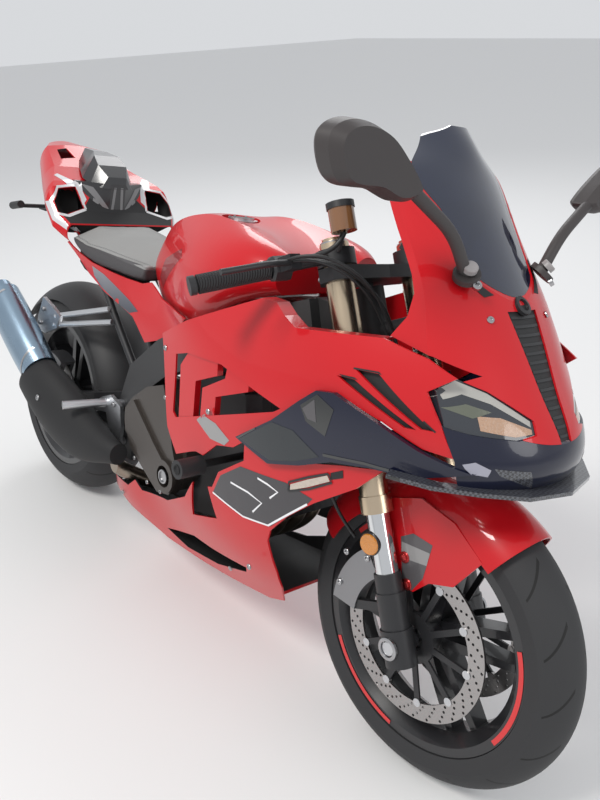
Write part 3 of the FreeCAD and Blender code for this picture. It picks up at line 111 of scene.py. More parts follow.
floor_mesh = bpy.data.meshes.new("floor")
FLOOR_REACH = 25.0
corners = [(x * FLOOR_REACH, y * FLOOR_REACH, 0) for x, y in ((-1, -1), (1, -1), (1, 1), (-1, 1))]
floor_mesh.from_pydata(corners, [], [(0, 1, 2, 3)])
floor = placed("floor", floor_mesh)
floor_paint, _, _ = plain_nodes("floor_paint", {"Base Color": (0.77, 0.77, 0.77, 1), "Roughness": 0.9})
floor_mesh.materials.append(floor_paint)

room = bpy.data.worlds.new("room")
bpy.context.scene.world = room
room.use_nodes = True
glow = room.node_tree.nodes["Background"].inputs
glow["Color"].default_value, glow["Strength"].default_value = (0.95, 0.97, 1.0, 1), 0.72


def soft_lamp(name, place, aim, size, power, colour=(1, 1, 1)):
    lamp = bpy.data.lights.new(name, "AREA")
    lamp.shape, lamp.size, lamp.energy, lamp.color = "DISK", size, power, colour
    holder = placed(name, lamp)
    holder.location = place
    holder.rotation_euler = (Vector(aim) - Vector(place)).to_track_quat("-Z", "Y").to_euler()


soft_lamp("key_lamp", (0.4, -3.0, 4.4), (0, 0, 0.5), 1.3, 136, (1, 0.98, 0.94))
soft_lamp("front_lamp", (4.2, 0.6, 1.9), (0.4, 0, 0.5), 1.8, 27)
soft_lamp("back_lamp", (-2.6, 3.0, 3.6), (0, 0, 0.6), 2.2, 54)


# Tyres: road tyres of matt rubber with long slanted grooves over the shoulders, cut into the surface by
# the material, which reads its place round the wheel and across it and darkens the grooves as painted shade.
FRONT_AXLE = (1430.0, 0.0, 301.43)
GROOVE_SLANT, GROOVE_SHIFT = 0.75, 0.25
GROOVE_HALF, GROOVE_TAPER = 0.05, 0.03
GROOVE_FROM, GROOVE_TO = 0.28, 0.93
GROOVE_INNER, GROOVE_DEPTH = 0.262, 0.004


def finish(name, colour, roughness, metal=0.0, grain=0.0, grain_size=0.001, drift=0.06, coat=0.0,
           coat_roughness=0.05, rough_drift=0.08, stretch=(1, 1, 1), specular=0.5, clear=0.0, cells=False):
    # A base colour that wanders a little, a roughness that does too, and a fine grain, each at the size
    # that the real finish shows
    material, tree, shader = plain_nodes(name, {
        "Metallic": metal, "Coat Weight": coat, "Coat Roughness": coat_roughness,
        "Specular IOR Level": specular, "Transmission Weight": clear})
    nodes, link = tree.nodes, tree.links.new
    place = nodes.new("ShaderNodeTexCoord")
    wide = nodes.new("ShaderNodeTexNoise")
    wide.inputs["Scale"].default_value = 9.0
    wide.inputs["Detail"].default_value = 4.0
    link(place.outputs["Object"], wide.inputs["Vector"])
    tone = nodes.new("ShaderNodeMapRange")
    tone.inputs["To Min"].default_value, tone.inputs["To Max"].default_value = 1 - drift, 1 + drift
    link(wide.outputs["Fac"], tone.inputs["Value"])
    shade = nodes.new("ShaderNodeVectorMath")
    shade.operation = "SCALE"
    shade.inputs[0].default_value = colour[:3]
    link(tone.outputs["Result"], shade.inputs["Scale"])
    link(shade.outputs["Vector"], shader.inputs["Base Color"])
    gloss = nodes.new("ShaderNodeMapRange")
    gloss.inputs["To Min"].default_value = max(0.02, roughness - rough_drift / 2)
    gloss.inputs["To Max"].default_value = min(1.0, roughness + rough_drift / 2)
    link(wide.outputs["Fac"], gloss.inputs["Value"])
    link(gloss.outputs["Result"], shader.inputs["Roughness"])
    if grain:
        spread = nodes.new("ShaderNodeMapping")
        spread.inputs["Scale"].default_value = stretch
        link(place.outputs["Object"], spread.inputs["Vector"])
        fine = nodes.new("ShaderNodeTexVoronoi" if cells else "ShaderNodeTexNoise")
        fine.inputs["Scale"].default_value = 1 / grain_size
        fine.inputs["Detail"].default_value = 0.0 if cells else 3.0
        link(spread.outputs["Vector"], fine.inputs["Vector"])
        bump = nodes.new("ShaderNodeBump")
        bump.inputs["Strength"].default_value = grain
        bump.inputs["Distance"].default_value = grain_size / 2
        link(fine.outputs["Distance" if cells else "Fac"], bump.inputs["Height"])
        link(bump.outputs["Normal"], shader.inputs["Normal"])
    return material


def dress(material, *nodes, smooth=35):
    for node in nodes:
        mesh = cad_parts[node].data
        mesh.materials.clear()
        mesh.materials.append(material)
        mesh.shade_smooth()
        mesh.set_sharp_from_angle(angle=math.radians(smooth))


def place_from(tree, middle):
    # Where a point of the surface lies from this middle, in metres along the upright machine's x, y and z
    nodes, link = tree.nodes, tree.links.new
    place = nodes.new("ShaderNodeTexCoord")
    off = nodes.new("ShaderNodeVectorMath")
    off.operation = "SUBTRACT"
    off.inputs[1].default_value = upright(*middle)
    link(place.outputs["Object"], off.inputs[0])
    stand = nodes.new("ShaderNodeVectorRotate")
    stand.rotation_type = "X_AXIS"
    stand.inputs["Angle"].default_value = LEAN
    link(off.outputs["Vector"], stand.inputs["Vector"])
    split = nodes.new("ShaderNodeSeparateXYZ")
    link(stand.outputs["Vector"], split.inputs["Vector"])
    return [split.outputs[axis] for axis in "XYZ"]


def sums(tree):
    # Gives what adds one step of arithmetic to this material
    def work(operation, *values):
        node = tree.nodes.new("ShaderNodeMath")
        node.operation = operation
        for socket, value in zip(node.inputs, values):
            if isinstance(value, (int, float)):
                socket.default_value = value
            else:
                tree.links.new(value, socket)
        return node.outputs["Value"]
    return work


def length_of(work, one, two):
    return work("SQRT", work("ADD", work("POWER", one, 2), work("POWER", two, 2)))


def tint(tree, colour, share):
    # Lays a colour over a finish where the share is 1
    base = tree.nodes["Principled BSDF"].inputs["Base Color"]
    blend = tree.nodes.new("ShaderNodeMix")
    blend.data_type = "RGBA"
    tree.links.new(share, blend.inputs["Factor"])
    tree.links.new(base.links[0].from_socket, blend.inputs["A"])
    blend.inputs["B"].default_value = (*colour, 1)
    tree.links.new(blend.outputs["Result"], base)


def relief(tree, height, depth, cut=False):
    # Raises a surface where the height says so, or cuts into it, over the grain that its finish has
    normal = tree.nodes["Principled BSDF"].inputs["Normal"]
    bump = tree.nodes.new("ShaderNodeBump")
    bump.invert = cut
    bump.inputs["Distance"].default_value = depth
    tree.links.new(height, bump.inputs["Height"])
    tree.links.new(normal.links[0].from_socket, bump.inputs["Normal"])
    tree.links.new(bump.outputs["Normal"], normal)


def tread(name, axle, half_width, grooves):
    material = finish(name, (0.026, 0.026, 0.028), 0.72, grain=0.35, grain_size=0.0012)
    tree = material.node_tree
    work = sums(tree)
    x, y, z = place_from(tree, axle)
    out = work("DIVIDE", work("ABSOLUTE", y), half_width / 1000)
    shift = work("MULTIPLY", work("SIGN", y), GROOVE_SHIFT)
    angle = work("ARCTAN2", z, x)
    turn = work("MULTIPLY_ADD", angle, grooves / (2 * math.pi), shift)
    phase = work("FRACT", work("MULTIPLY_ADD", out, GROOVE_SLANT, turn))
    near = work("ABSOLUTE", work("SUBTRACT", phase, 0.5))
    half = work("MULTIPLY_ADD", out, -GROOVE_TAPER, GROOVE_HALF)
    groove = work("LESS_THAN", near, half)
    for test, value, limit in (("GREATER_THAN", out, GROOVE_FROM), ("LESS_THAN", out, GROOVE_TO),
                               ("GREATER_THAN", length_of(work, x, z), GROOVE_INNER)):
        groove = work("MULTIPLY", groove, work(test, value, limit))
    # The grooves' colour is darkened: painted shade in the recesses
    tint(tree, (0.004, 0.004, 0.004), groove)
    relief(tree, groove, GROOVE_DEPTH, cut=True)
    return material


dress(tread("front_rubber", FRONT_AXLE, half_width=59, grooves=17), "front_tyre")
dress(tread("rear_rubber", REAR_AXLE, half_width=88, grooves=15), "rear_tyre")


# Wheels: rims cast in alloy in one piece with five split spokes, and lacquered gloss black. Three red
# stripes of film are stuck along the lip on each side of a rim.
STRIPE_RADIUS, STRIPE_WIDE, STRIPE_SWEEP, STRIPE_PARTS = 216, 9, 52, 40
STRIPE_STARTS = (-28, 92, 212)
RIMS = (("front", FRONT_AXLE, 52.3), ("rear", REAR_AXLE, 75.3))
wheel_black = finish("wheel_black", (0.012, 0.012, 0.014), 0.32, grain=0.1, grain_size=0.0006, coat=0.4)
dress(wheel_black, "front_rim", "rear_rim")
rim_red = finish("rim_red", (0.62, 0.012, 0.014), 0.35, coat=0.6, grain=0.1, grain_size=0.0006)


def add_built(name, body, built, material, smooth=35):
    # A shape that has been built becomes a piece that moves with this body
    mesh = bpy.data.meshes.new(name)
    built.to_mesh(mesh)
    built.free()
    mesh.materials.append(material)
    piece = placed(name, mesh)
    mesh.shade_smooth()
    mesh.set_sharp_from_angle(angle=math.radians(smooth))
    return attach(piece, body)


def rim_stripe(name, body, axle, y, start):
    built = bmesh.new()
    rows = []
    for k in range(STRIPE_PARTS + 1):
        t = math.radians(start + STRIPE_SWEEP * k / STRIPE_PARTS)
        rows.append([built.verts.new(upright(axle[0] + r * math.cos(t), y, axle[2] + r * math.sin(t)))
                     for r in (STRIPE_RADIUS, STRIPE_RADIUS + STRIPE_WIDE)])
    for one, two in zip(rows, rows[1:]):
        built.faces.new([one[0], one[1], two[1], two[0]])
    return add_built(name, body, built, rim_red)


for tag, side in (("right", -1), ("left", 1)):
    for start in STRIPE_STARTS:
        for wheel, axle, lip in RIMS:
            rim_stripe(f"{wheel}_rim_stripe_{tag}_{start % 360}", f"{wheel}_wheel", axle, side * lip, start)


# Brake discs: rings of ground steel with rows of drilled holes that light shows through. The front pair
# have black carriers and bright bobbins; the rear one is smaller, with a black middle.
CARRIER_EDGE, BOBBIN_EDGE, BOBBIN_FACE, REAR_CARRIER_EDGE = 122, 136, 69, 78
FRONT_ROWS, REAR_ROWS, ROW_TURN = (132.5, 140, 147.5, 155), (88, 95, 102), 0.29


def drilled(name, axle, rows, holes, hole_radius):
    material = finish(name, (0.4, 0.385, 0.38), 0.3, metal=1.0, grain=0.25, grain_size=0.0007)
    tree = material.node_tree
    shader = tree.nodes["Principled BSDF"]
    work = sums(tree)
    x, _, z = place_from(tree, axle)
    angle, radius = work("ARCTAN2", z, x), length_of(work, x, z)
    solid = None
    for number, row in enumerate(rows):
        turn = work("MULTIPLY_ADD", angle, holes / (2 * math.pi), number * ROW_TURN)
        along = work("MULTIPLY", work("SUBTRACT", work("FRACT", turn), 0.5),
                     2 * math.pi * row / holes / 1000)
        away = length_of(work, along, work("SUBTRACT", radius, row / 1000))
        here = work("GREATER_THAN", away, hole_radius / 1000)
        solid = here if solid is None else work("MULTIPLY", solid, here)
    tree.links.new(solid, shader.inputs["Alpha"])
    return material


dress(drilled("drilled_steel", FRONT_AXLE, FRONT_ROWS, holes=30, hole_radius=2.6), "front_discs")
dress(drilled("drilled_rear", REAR_AXLE, REAR_ROWS, holes=24, hole_radius=2.4), "rear_disc")


def distance_to(axle, x, z):
    return math.hypot(x - axle[0], z - axle[2])


def back_upright(point):
    x, y, z = (point - set_down) * 1000
    return x, y * math.cos(LEAN) - z * math.sin(LEAN), y * math.sin(LEAN) + z * math.cos(LEAN)


def paint(material, node, where):
    # Faces of a node take a second material where the test says so, given x, y, z and the face's
    # direction, both on the upright machine.
    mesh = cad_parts[node].data
    mesh.materials.append(material)
    number = len(mesh.materials) - 1
    corners = [back_upright(vertex.co) for vertex in mesh.vertices]
    for face in mesh.polygons:
        middle = [sum(corners[v][i] for v in face.vertices) / len(face.vertices) for i in range(3)]
        nx, ny, nz = face.normal
        toward = (nx, ny * math.cos(LEAN) - nz * math.sin(LEAN), ny * math.sin(LEAN) + nz * math.cos(LEAN))
        if where(*middle, toward):
            face.material_index = number


satin_black = finish("satin_black", (0.018, 0.018, 0.02), 0.42, grain=0.2, grain_size=0.0008)
silver_alloy = finish("silver_alloy", (0.6, 0.61, 0.63), 0.35, metal=1.0, grain=0.3, grain_size=0.0008)
paint(satin_black, "front_discs", lambda x, y, z, n: distance_to(FRONT_AXLE, x, z) < CARRIER_EDGE)
paint(silver_alloy, "front_discs",
      lambda x, y, z, n: abs(y) > BOBBIN_FACE and distance_to(FRONT_AXLE, x, z) < BOBBIN_EDGE)
paint(satin_black, "rear_disc", lambda x, y, z, n: distance_to(REAR_AXLE, x, z) < REAR_CARRIER_EDGE)

# Chain and sprocket: links of oiled steel that run over a sprocket of hard grey steel, which turns with
# the rear wheel
chain_steel = finish("chain_steel", (0.2, 0.19, 0.18), 0.45, metal=1.0, grain=0.3)
dress(chain_steel, "chain", "rear_sprocket")

# Calipers: bodies of cast grey alloy that straddle the discs. Each front one has a machined outer face
# and three socket-head screws of steel.
CALIPER_FACE = 98
caliper_grey = finish("caliper_grey", (0.16, 0.16, 0.165), 0.45, metal=0.6, grain=0.3, grain_size=0.0009)
dress(caliper_grey, "front_calipers", "rear_caliper")
caliper_face = finish("caliper_face", (0.27, 0.27, 0.28), 0.38, metal=0.8, grain=0.2, grain_size=0.0006)
paint(caliper_face, "front_calipers", lambda x, y, z, n: abs(n[1]) > 0.9 and abs(y) > CALIPER_FACE)
screw_steel = finish("screw_steel", (0.42, 0.42, 0.43), 0.3, metal=1.0, grain=0.2, grain_size=0.0005)


def turned(name, places, profile, material=screw_steel, segments=24, both=True, body="chassis"):
    # Screws, caps and rings: a profile of (height, radius) turned round an axis at each place
    built = bmesh.new()
    turns = [2 * math.pi * k / segments for k in range(segments)]
    every = list(places)
    if both:
        every += [((x, -y, z), (a, -b, c)) for (x, y, z), (a, b, c) in places]
    for centre, axis in every:
        way = (turned_over(*axis) - turned_over(0, 0, 0)).normalized()
        side = way.orthogonal().normalized()
        across = way.cross(side)
        outward = [side * math.cos(t) + across * math.sin(t) for t in turns]
        rings = []
        for height, radius in profile:
            middle = upright(*centre) + way * height / 1000
            rings.append([built.verts.new(middle + out * radius / 1000) for out in outward])
        for low_ring, high_ring in zip(rings, rings[1:]):
            for k in range(segments):
                m = (k + 1) % segments
                built.faces.new([low_ring[k], low_ring[m], high_ring[m], high_ring[k]])
        built.faces.new(rings[-1])
        built.faces.new(rings[0][::-1])
    return add_built(name, body, built, material)


def screw(radius, proud=2.5):
    # Profile of a socket-head screw: a rounded rim round a deep socket
    return [(-1, radius), (proud - 0.8, radius), (proud, radius - 0.8), (proud, radius * 0.52),
            (proud * 0.3, radius * 0.5)]


turned("front_caliper_bolts",
       [((x, -99, z), (0, -1, 0)) for x, z in ((1268, 408), (1262, 338), (1320, 420))],
       screw(6.5, 4), body="steering")

# Fork and running gear: champagne alloy tubes over polished sliders, in black castings at the axle, which
# is hollow and has a bright ring at each end. Each leg carries a round amber reflector. Clamps, bars,
# swingarm, subframe and stand are painted satin black; shafts, footrests and filler cap are bare alloy.
gold_tube = finish("gold_tube", (0.62, 0.5, 0.36), 0.26, metal=1.0, grain=0.1, grain_size=0.0006)
dress(gold_tube, "fork_tubes")
slider_chrome = finish("slider_chrome", (0.7, 0.71, 0.72), 0.08, metal=1.0, grain=0.05, grain_size=0.0008)
dress(slider_chrome, "fork_sliders")
dress(satin_black, "fork_bottoms", "triple_clamps", "handlebars", "controls", "swingarm", "subframe",
      "side_stand", "rear_shock")
dress(silver_alloy, "front_axle", "rear_axle", "pivot_shaft", "footrests", "tank_cap")
turned("front_axle_ring", [((FRONT_AXLE[0], -135.2, FRONT_AXLE[2]), (0, -1, 0))],
       [(-3, 21), (2, 21), (3, 19.5), (3, 15), (-1, 14)], segments=40, body="steering")
amber_lens = finish("amber_lens", (0.55, 0.2, 0.02), 0.12, coat=1.0, grain=0.7, grain_size=0.004, cells=True)
turned("fork_reflectors", [((1344, -127.5, 470), (0.1, -1, 0))],
       [(-3, 20), (4, 20), (6, 18.5), (6.5, 2)], amber_lens, segments=40, body="steering")
turned("fork_reflector_rims", [((1344, -127.2, 470), (0.1, -1, 0))],
       [(-5, 22), (2.5, 22), (3.4, 21)], satin_black, segments=40, body="steering")

# Red bodywork: panels of moulded plastic, and a tank of pressed steel, under deep gloss lacquer. The
# panels' backs are bare black plastic.
BACK_FROM, BACK_TURN = 60, -0.25
BELLY_TOP, BELLY_FROM, BELLY_TURN = 330, 20, -0.05
red_lacquer = finish("red_lacquer", (0.53, 0.006, 0.011), 0.34, coat=0.55, coat_roughness=0.035, drift=0.03,
                     specular=0.2, grain=0.02, grain_size=0.0009)
dress(red_lacquer, "front_fender", "fairing_sides", "lower_fairings", "nose_cowl", "tank", "tail_cowl",
      "side_covers")
bare_back = finish("bare_back", (0.014, 0.014, 0.015), 0.6, grain=0.4)


def faces_in(y, n, away=BACK_FROM, turn=BACK_TURN):
    # A face of a side panel that looks toward the machine's middle
    return abs(y) > away and n[1] * y < turn * abs(y)


paint(bare_back, "lower_fairings", lambda x, y, z, n: faces_in(y, n) or z < BELLY_TOP and n[2] > 0.3 or
      faces_in(y, n, BELLY_FROM, BELLY_TURN))
paint(bare_back, "nose_cowl", lambda x, y, z, n: n[0] < -0.15 and faces_in(y * 3, n) or n[0] < -0.5)

# Front fender: moulded red plastic over the tyre, fixed to the fork. Two greys of film cover its skirt in
# front of each fork leg, and two red anodised screws go through it there.
grey_film = finish("grey_film", (0.085, 0.08, 0.085), 0.3, coat=0.45, specular=0.3, grain=0.15,
                   grain_size=0.002)
light_film = finish("light_film", (0.24, 0.235, 0.235), 0.3, coat=0.9, grain=0.15, grain_size=0.002)
PLANS = {"right": ((0, 2), (0, 1, 0), -500), "front": ((1, 2), (-1, 0, 0), 2100),
         "above": ((0, 1), (0, 0, -1), 1400)}


def inside(point, ring):
    x, y = point
    crossings = 0
    for (x0, y0), (x1, y1) in zip(ring, ring[1:] + ring[:1]):
        if (y0 > y) != (y1 > y) and x < x0 + (y - y0) * (x1 - x0) / (y1 - y0):
            crossings += 1
    return crossings % 2 == 1


def laid_on(name, nodes, outlines, material, plan="right", lift=0.5, step=11.0, both=True, body="chassis"):
    # Thin trim, such as a film or a gasket: outlines drawn from the side (x, z), the front (y, z) or above
    # (x, y) are laid on the surface of the nodes that lie under them
    axes, heading, start = PLANS[plan]
    shape = bmesh.new()
    for node in nodes:
        shape.from_mesh(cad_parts[node].data)
    ground = BVHTree.FromBMesh(shape)
    shape.free()
    built = bmesh.new()
    sides = [(outlines, heading, start)]
    if both:
        if plan == "right":
            sides.append((outlines, (0, -1, 0), -start))
        else:
            flipped = [[(a, -b) if plan == "above" else (-a, b) for a, b in ring] for ring in outlines]
            sides.append((flipped, heading, start))
    for rings, way, origin in sides:
        aim = (turned_over(*way) - turned_over(0, 0, 0)).normalized()
        for ring in rings:
            edge = []
            for (a0, b0), (a1, b1) in zip(ring, ring[1:] + ring[:1]):
                count = max(1, round(math.hypot(a1 - a0, b1 - b0) / step))
                edge += [(a0 + (a1 - a0) * i / count, b0 + (b1 - b0) * i / count) for i in range(count)]
            lows, highs = [min(p[i] for p in ring) for i in (0, 1)], [max(p[i] for p in ring) for i in (0, 1)]
            grid = []
            for i in range(1, int((highs[0] - lows[0]) / step) + 1):
                for j in range(1, int((highs[1] - lows[1]) / step) + 1):
                    point = (lows[0] + i * step, lows[1] + j * step)
                    if inside(point, edge) and min(math.dist(point, p) for p in edge) > step * 0.6:
                        grid.append(point)
            flat = [Vector(p) for p in edge + grid]
            places, _, faces, _, _, _ = delaunay_2d_cdt(flat, [], [list(range(len(edge)))], 1, 1e-4)
            found = []
            for a, b in places:
                point = [0.0, 0.0, 0.0]
                point[axes[0]], point[axes[1]] = a, b
                point[next(i for i in range(3) if i not in axes)] = origin
                hit, normal, _, _ = ground.ray_cast(upright(*point), aim)
                if hit is None:
                    found.append(None)
                    continue
                if normal.dot(aim) > 0:
                    normal = -normal
                found.append(built.verts.new(hit + normal * lift / 1000))
            for face in faces:
                corners = [found[i] for i in face]
                if all(corners) and len(set(corners)) == 3:
                    spread = max((p.co - q.co).length for p in corners for q in corners)
                    if spread < 6 * step / 1000:
                        built.faces.new(corners)
    bmesh.ops.recalc_face_normals(built, faces=built.faces)
    return add_built(name, body, built, material, smooth=60)


laid_on("fender_film", ["front_fender"],
        [[(1372, 486), (1398, 505), (1443, 503), (1436, 432), (1410, 384), (1397, 386), (1384, 438)]],
        grey_film, lift=0.4, step=5, body="steering")
laid_on("fender_film_band", ["front_fender"],
        [[(1382, 448), (1439, 460), (1441, 486), (1376, 478)]], light_film, lift=0.7, step=5, body="steering")
screw_red = finish("fender_screw_red", (0.5, 0.05, 0.05), 0.25, metal=0.8, grain=0.1)
turned("fender_screws",
       [((1389, -79.5, 452), (0, -1, 0)), ((1405, -79.5, 404), (0, -1, 0))],
       [(-1, 11), (1.5, 11), (2.5, 10), (2.5, 7), (5, 6.5), (6, 5), (6, 1)], screw_red, body="steering")


# Upper fairing: red moulded sides with two slashes through each, lined in black, and a pale film on the
# shoulder below the side vent. Five socket-head screws hold each side.
def ribbon(points, width):
    # Outline of a stripe of this width along a line of points
    left, right_side = [], []
    for i, (x, y) in enumerate(points):
        ahead, behind = points[min(i + 1, len(points) - 1)], points[max(i - 1, 0)]
        dx, dy = ahead[0] - behind[0], ahead[1] - behind[1]
        size = math.hypot(dx, dy)
        nx, ny = -dy / size * width / 2, dx / size * width / 2
        left.append((x + nx, y + ny))
        right_side.append((x - nx, y - ny))
    return left + right_side[::-1]


inner_black = finish("inner_black", (0.012, 0.012, 0.013), 0.6, grain=0.3, grain_size=0.0012)
laid_on("gill_linings", ["fairing_sides"],
        [[(1262, 800), (1310, 828), (1385, 834), (1476, 762), (1492, 728), (1464, 722), (1400, 744),
          (1312, 762), (1270, 772)]], inner_black, lift=-7.0, step=300)
laid_on("gill_rims", ["fairing_sides"],
        [ribbon([(1326, 807), (1372, 813), (1480, 747)], 3),
         ribbon([(1293, 788), (1332, 792), (1456, 742)], 3)],
        inner_black, lift=0.6, step=8)
laid_on("vent_shoulder_film", ["fairing_sides"],
        [[(930, 578), (950, 597), (1000, 596), (1050, 579), (1035, 563), (985, 558)]], light_film,
        step=5)
turned("fairing_screws",
       [((765, -213, 682), (0, -1, 0)), ((974, -240, 612), (0, -1, 0)),
        ((1218, -231, 766), (0, -1, 0.2)), ((1100, -226, 800), (0, -1, 0.2)),
        ((1345, -198, 846), (0, -1, 0.2))],
       screw(6, 1.6), segments=18)

# Lower fairing: red moulded sides with a dark film that has a white border and two plain white chevrons.
# The indicator is a clear strip over a row of lamps, framed in black, that ends in a black socket. Four
# screws hold each side.
panel_shade = finish("panel_shade", (0.05, 0.047, 0.052), 0.34, coat=0.35, specular=0.3, grain=0.15,
                     grain_size=0.002)
white_film = finish("white_film", (0.78, 0.78, 0.8), 0.3, coat=0.8, grain=0.05)
laid_on("panel_film", ["lower_fairings"],
        [[(997, 444), (1022, 492), (1085, 538), (1210, 556), (1273, 549), (1262, 534), (1173, 447),
          (1097, 431)]],
        panel_shade, step=5)
laid_on("panel_lines", ["lower_fairings"],
        [ribbon([(996, 442), (1096, 433), (1168, 447), (1262, 534)], 4),
         ribbon([(1057, 492), (1112, 494), (1151, 488), (1125, 457)], 4),
         ribbon([(1137, 535), (1165, 534), (1192, 529), (1172, 508)], 4)], white_film, lift=1.0, step=8)
lamp_row = finish("lamp_row", (0.5, 0.42, 0.36), 0.12, coat=1.0, grain=0.6, grain_size=0.009, cells=True)
laid_on("indicator_lens", ["lower_fairings"],
        [[(1222, 546), (1222, 558), (1262, 584), (1301, 607), (1307, 598), (1264, 570)]], lamp_row, lift=1.6,
        step=4)
laid_on("indicator_rim", ["lower_fairings"],
        [ribbon([(1218, 543), (1218, 561), (1261, 588), (1303, 611)], 4),
         ribbon([(1303, 611), (1311, 597), (1265, 566), (1218, 543)], 4)], satin_black, lift=2.0, step=4)
laid_on("indicator_socket", ["lower_fairings"],
        [[(1308, 601), (1307, 614), (1331, 628), (1333, 614)]], inner_black, lift=0.9, step=5)
turned("lower_fairing_screws",
       [((988, -152, 237), (0, -1, -0.3)), ((1120, -214, 330), (0, -1, 0)),
        ((700, -150, 268), (0, -1, -0.2)), ((500, -141, 205), (0, -1, 0))],
       screw(6, 1.6), segments=18)

# Nose: headlights behind smoked glass, each with a grey brow, a pale strip and a greenish lens, and between
# them a ribbed duct of black plastic under a black ring. The screen is smoked plastic in a dark rim; two
# screws each side hold the cowl round it.
DUCT_TOP, DUCT_LONG, DUCT_PITCH, DUCT_LEAN = 915, 190, 14, 0.9
DUCT_HALF, DUCT_TAPER = 34, 24
smoke = finish("smoke", (0.02, 0.024, 0.032), 0.07, coat=1.0, coat_roughness=0.02, grain=0.02)
dress(smoke, "headlights")
screen_blue = finish("screen_blue", (0.012, 0.018, 0.045), 0.06, coat=1.0, coat_roughness=0.02, clear=0.35,
                     grain=0.02)
dress(screen_blue, "windscreen")
brow_grey = finish("brow_grey", (0.36, 0.355, 0.33), 0.28, coat=0.8, grain=0.2, grain_size=0.003)
strip_beige = finish("strip_beige", (0.42, 0.26, 0.17), 0.3, coat=0.9, grain=0.6, grain_size=0.004,
                     cells=True)
laid_on("lamp_brows", ["headlights"],
        [[(-189, 803), (-156, 826), (-119, 812), (-64, 776), (-66, 768), (-118, 798), (-152, 808),
          (-180, 794)]],
        brow_grey, step=7, plan="front")
laid_on("lamp_strips", ["headlights"],
        [[(-140, 780), (-110, 780), (-66, 765), (-67, 759), (-96, 755), (-140, 760)]], strip_beige,
        step=7, plan="front")
lens_green = finish("lens_green", (0.10, 0.11, 0.08), 0.1, coat=1.0, grain=0.3, cells=True)
laid_on("lamp_lenses", ["headlights"],
        [[(-176, 785), (-150, 795), (-120, 787), (-146, 776)]], lens_green, lift=0.9, step=6, plan="front")
dress(inner_black, "nose_duct")
duct_lines = []
for down in range(0, DUCT_LONG, DUCT_PITCH):
    half, height = DUCT_HALF - DUCT_TAPER * down / DUCT_LONG, DUCT_TOP - DUCT_LEAN * down
    duct_lines.append(ribbon([(-half, height), (half, height)], 4))
laid_on("duct_ribs", ["nose_duct"], duct_lines, satin_black, lift=1.5, step=6, both=False, plan="front")
laid_on("screen_rim", ["nose_cowl"],
        [ribbon([(1284, 1128), (1309, 1095), (1344, 1062), (1385, 1016), (1424, 966), (1447, 946)], 5)],
        inner_black, lift=0.7, step=8)
turned("nose_screws",
       [((1467, -80, 914), (0.6, -0.5, 0.6)), ((1385, -150, 880), (0.2, -1, 0.3))],
       screw(6, 2), segments=18)
turned("intake_ring", [((1467, 0, 932), (0.72, 0, 0.69))],
       [(-2, 17), (4, 17), (5, 15), (5, 11), (0, 10)], satin_black, segments=32, both=False)

# Wings and chin: plastic moulded in gloss navy. Each wing has a dark film, dark edges and a glassy slot with
# a grey glint painted in it. The chin's blade and the corner beside each small pale light are lacquered
# carbon weave.
BLADE_FROM, BLADE_TO, BLADE_BACK = 663.5, 671.5, 1440
navy_gloss = finish("navy_gloss", (0.006, 0.008, 0.024), 0.28, coat=0.6, grain=0.03, specular=0.25)
dress(navy_gloss, "winglets")
carbon, carbon_tree, carbon_shader = plain_nodes("carbon_weave", {"Roughness": 0.3, "Coat Weight": 1.0})
carbon_place = carbon_tree.nodes.new("ShaderNodeTexCoord")
carbon_turn = carbon_tree.nodes.new("ShaderNodeMapping")
carbon_turn.inputs["Rotation"].default_value = (0.4, 0.2, math.radians(45))
carbon_tree.links.new(carbon_place.outputs["Object"], carbon_turn.inputs["Vector"])
carbon_check = carbon_tree.nodes.new("ShaderNodeTexChecker")
carbon_check.inputs["Scale"].default_value = 260
carbon_check.inputs["Color1"].default_value = (0.012, 0.012, 0.016, 1)
carbon_check.inputs["Color2"].default_value = (0.075, 0.08, 0.095, 1)
carbon_tree.links.new(carbon_turn.outputs["Vector"], carbon_check.inputs["Vector"])
carbon_tree.links.new(carbon_check.outputs["Color"], carbon_shader.inputs["Base Color"])
paint(carbon, "winglets", lambda x, y, z, n: BLADE_FROM < z < BLADE_TO and x > BLADE_BACK)
dark_glass = finish("dark_glass", (0.008, 0.009, 0.009), 0.05, coat=1.0, coat_roughness=0.01, grain=0.02)
wing_film = finish("wing_film", (0.018, 0.022, 0.026), 0.2, coat=0.5, coat_roughness=0.04, grain=0.05,
                   specular=0.3)
laid_on("wing_panels", ["winglets"],
        [[(1094, 602), (1178, 665), (1230, 668), (1292, 641), (1240, 613), (1180, 592)]], wing_film, lift=0.6)
laid_on("wing_slots", ["winglets"],
        [[(1240, 718), (1274, 748), (1312, 733), (1301, 682), (1257, 694)]], dark_glass, lift=0.6)
# A grey patch inside each slot: a painted glint of light on the glass
laid_on("wing_slot_painted_glint", ["winglets"],
        [[(1246, 714), (1270, 738), (1280, 700), (1260, 700)]], grey_film, lift=1.0, step=7)
laid_on("wing_edges", ["winglets"],
        [ribbon([(1088, 601), (1177, 670), (1236, 728), (1270, 754)], 3),
         ribbon([(1300, 648), (1380, 662), (1460, 668)], 5)], dark_glass, lift=0.9, step=9)
chin_light = finish("chin_light", (0.3, 0.3, 0.36), 0.2, coat=1.0, grain=0.2)
laid_on("chin_lights", ["winglets"],
        [[(-163, 707), (-151, 714), (-133, 705), (-135, 693), (-157, 695)]], chin_light,
        lift=0.6, step=6, plan="front")
laid_on("chin_carbon", ["winglets"],
        [[(-130, 708), (-78, 706), (-59, 673), (-121, 697)]], carbon, lift=0.6, step=6, plan="front")

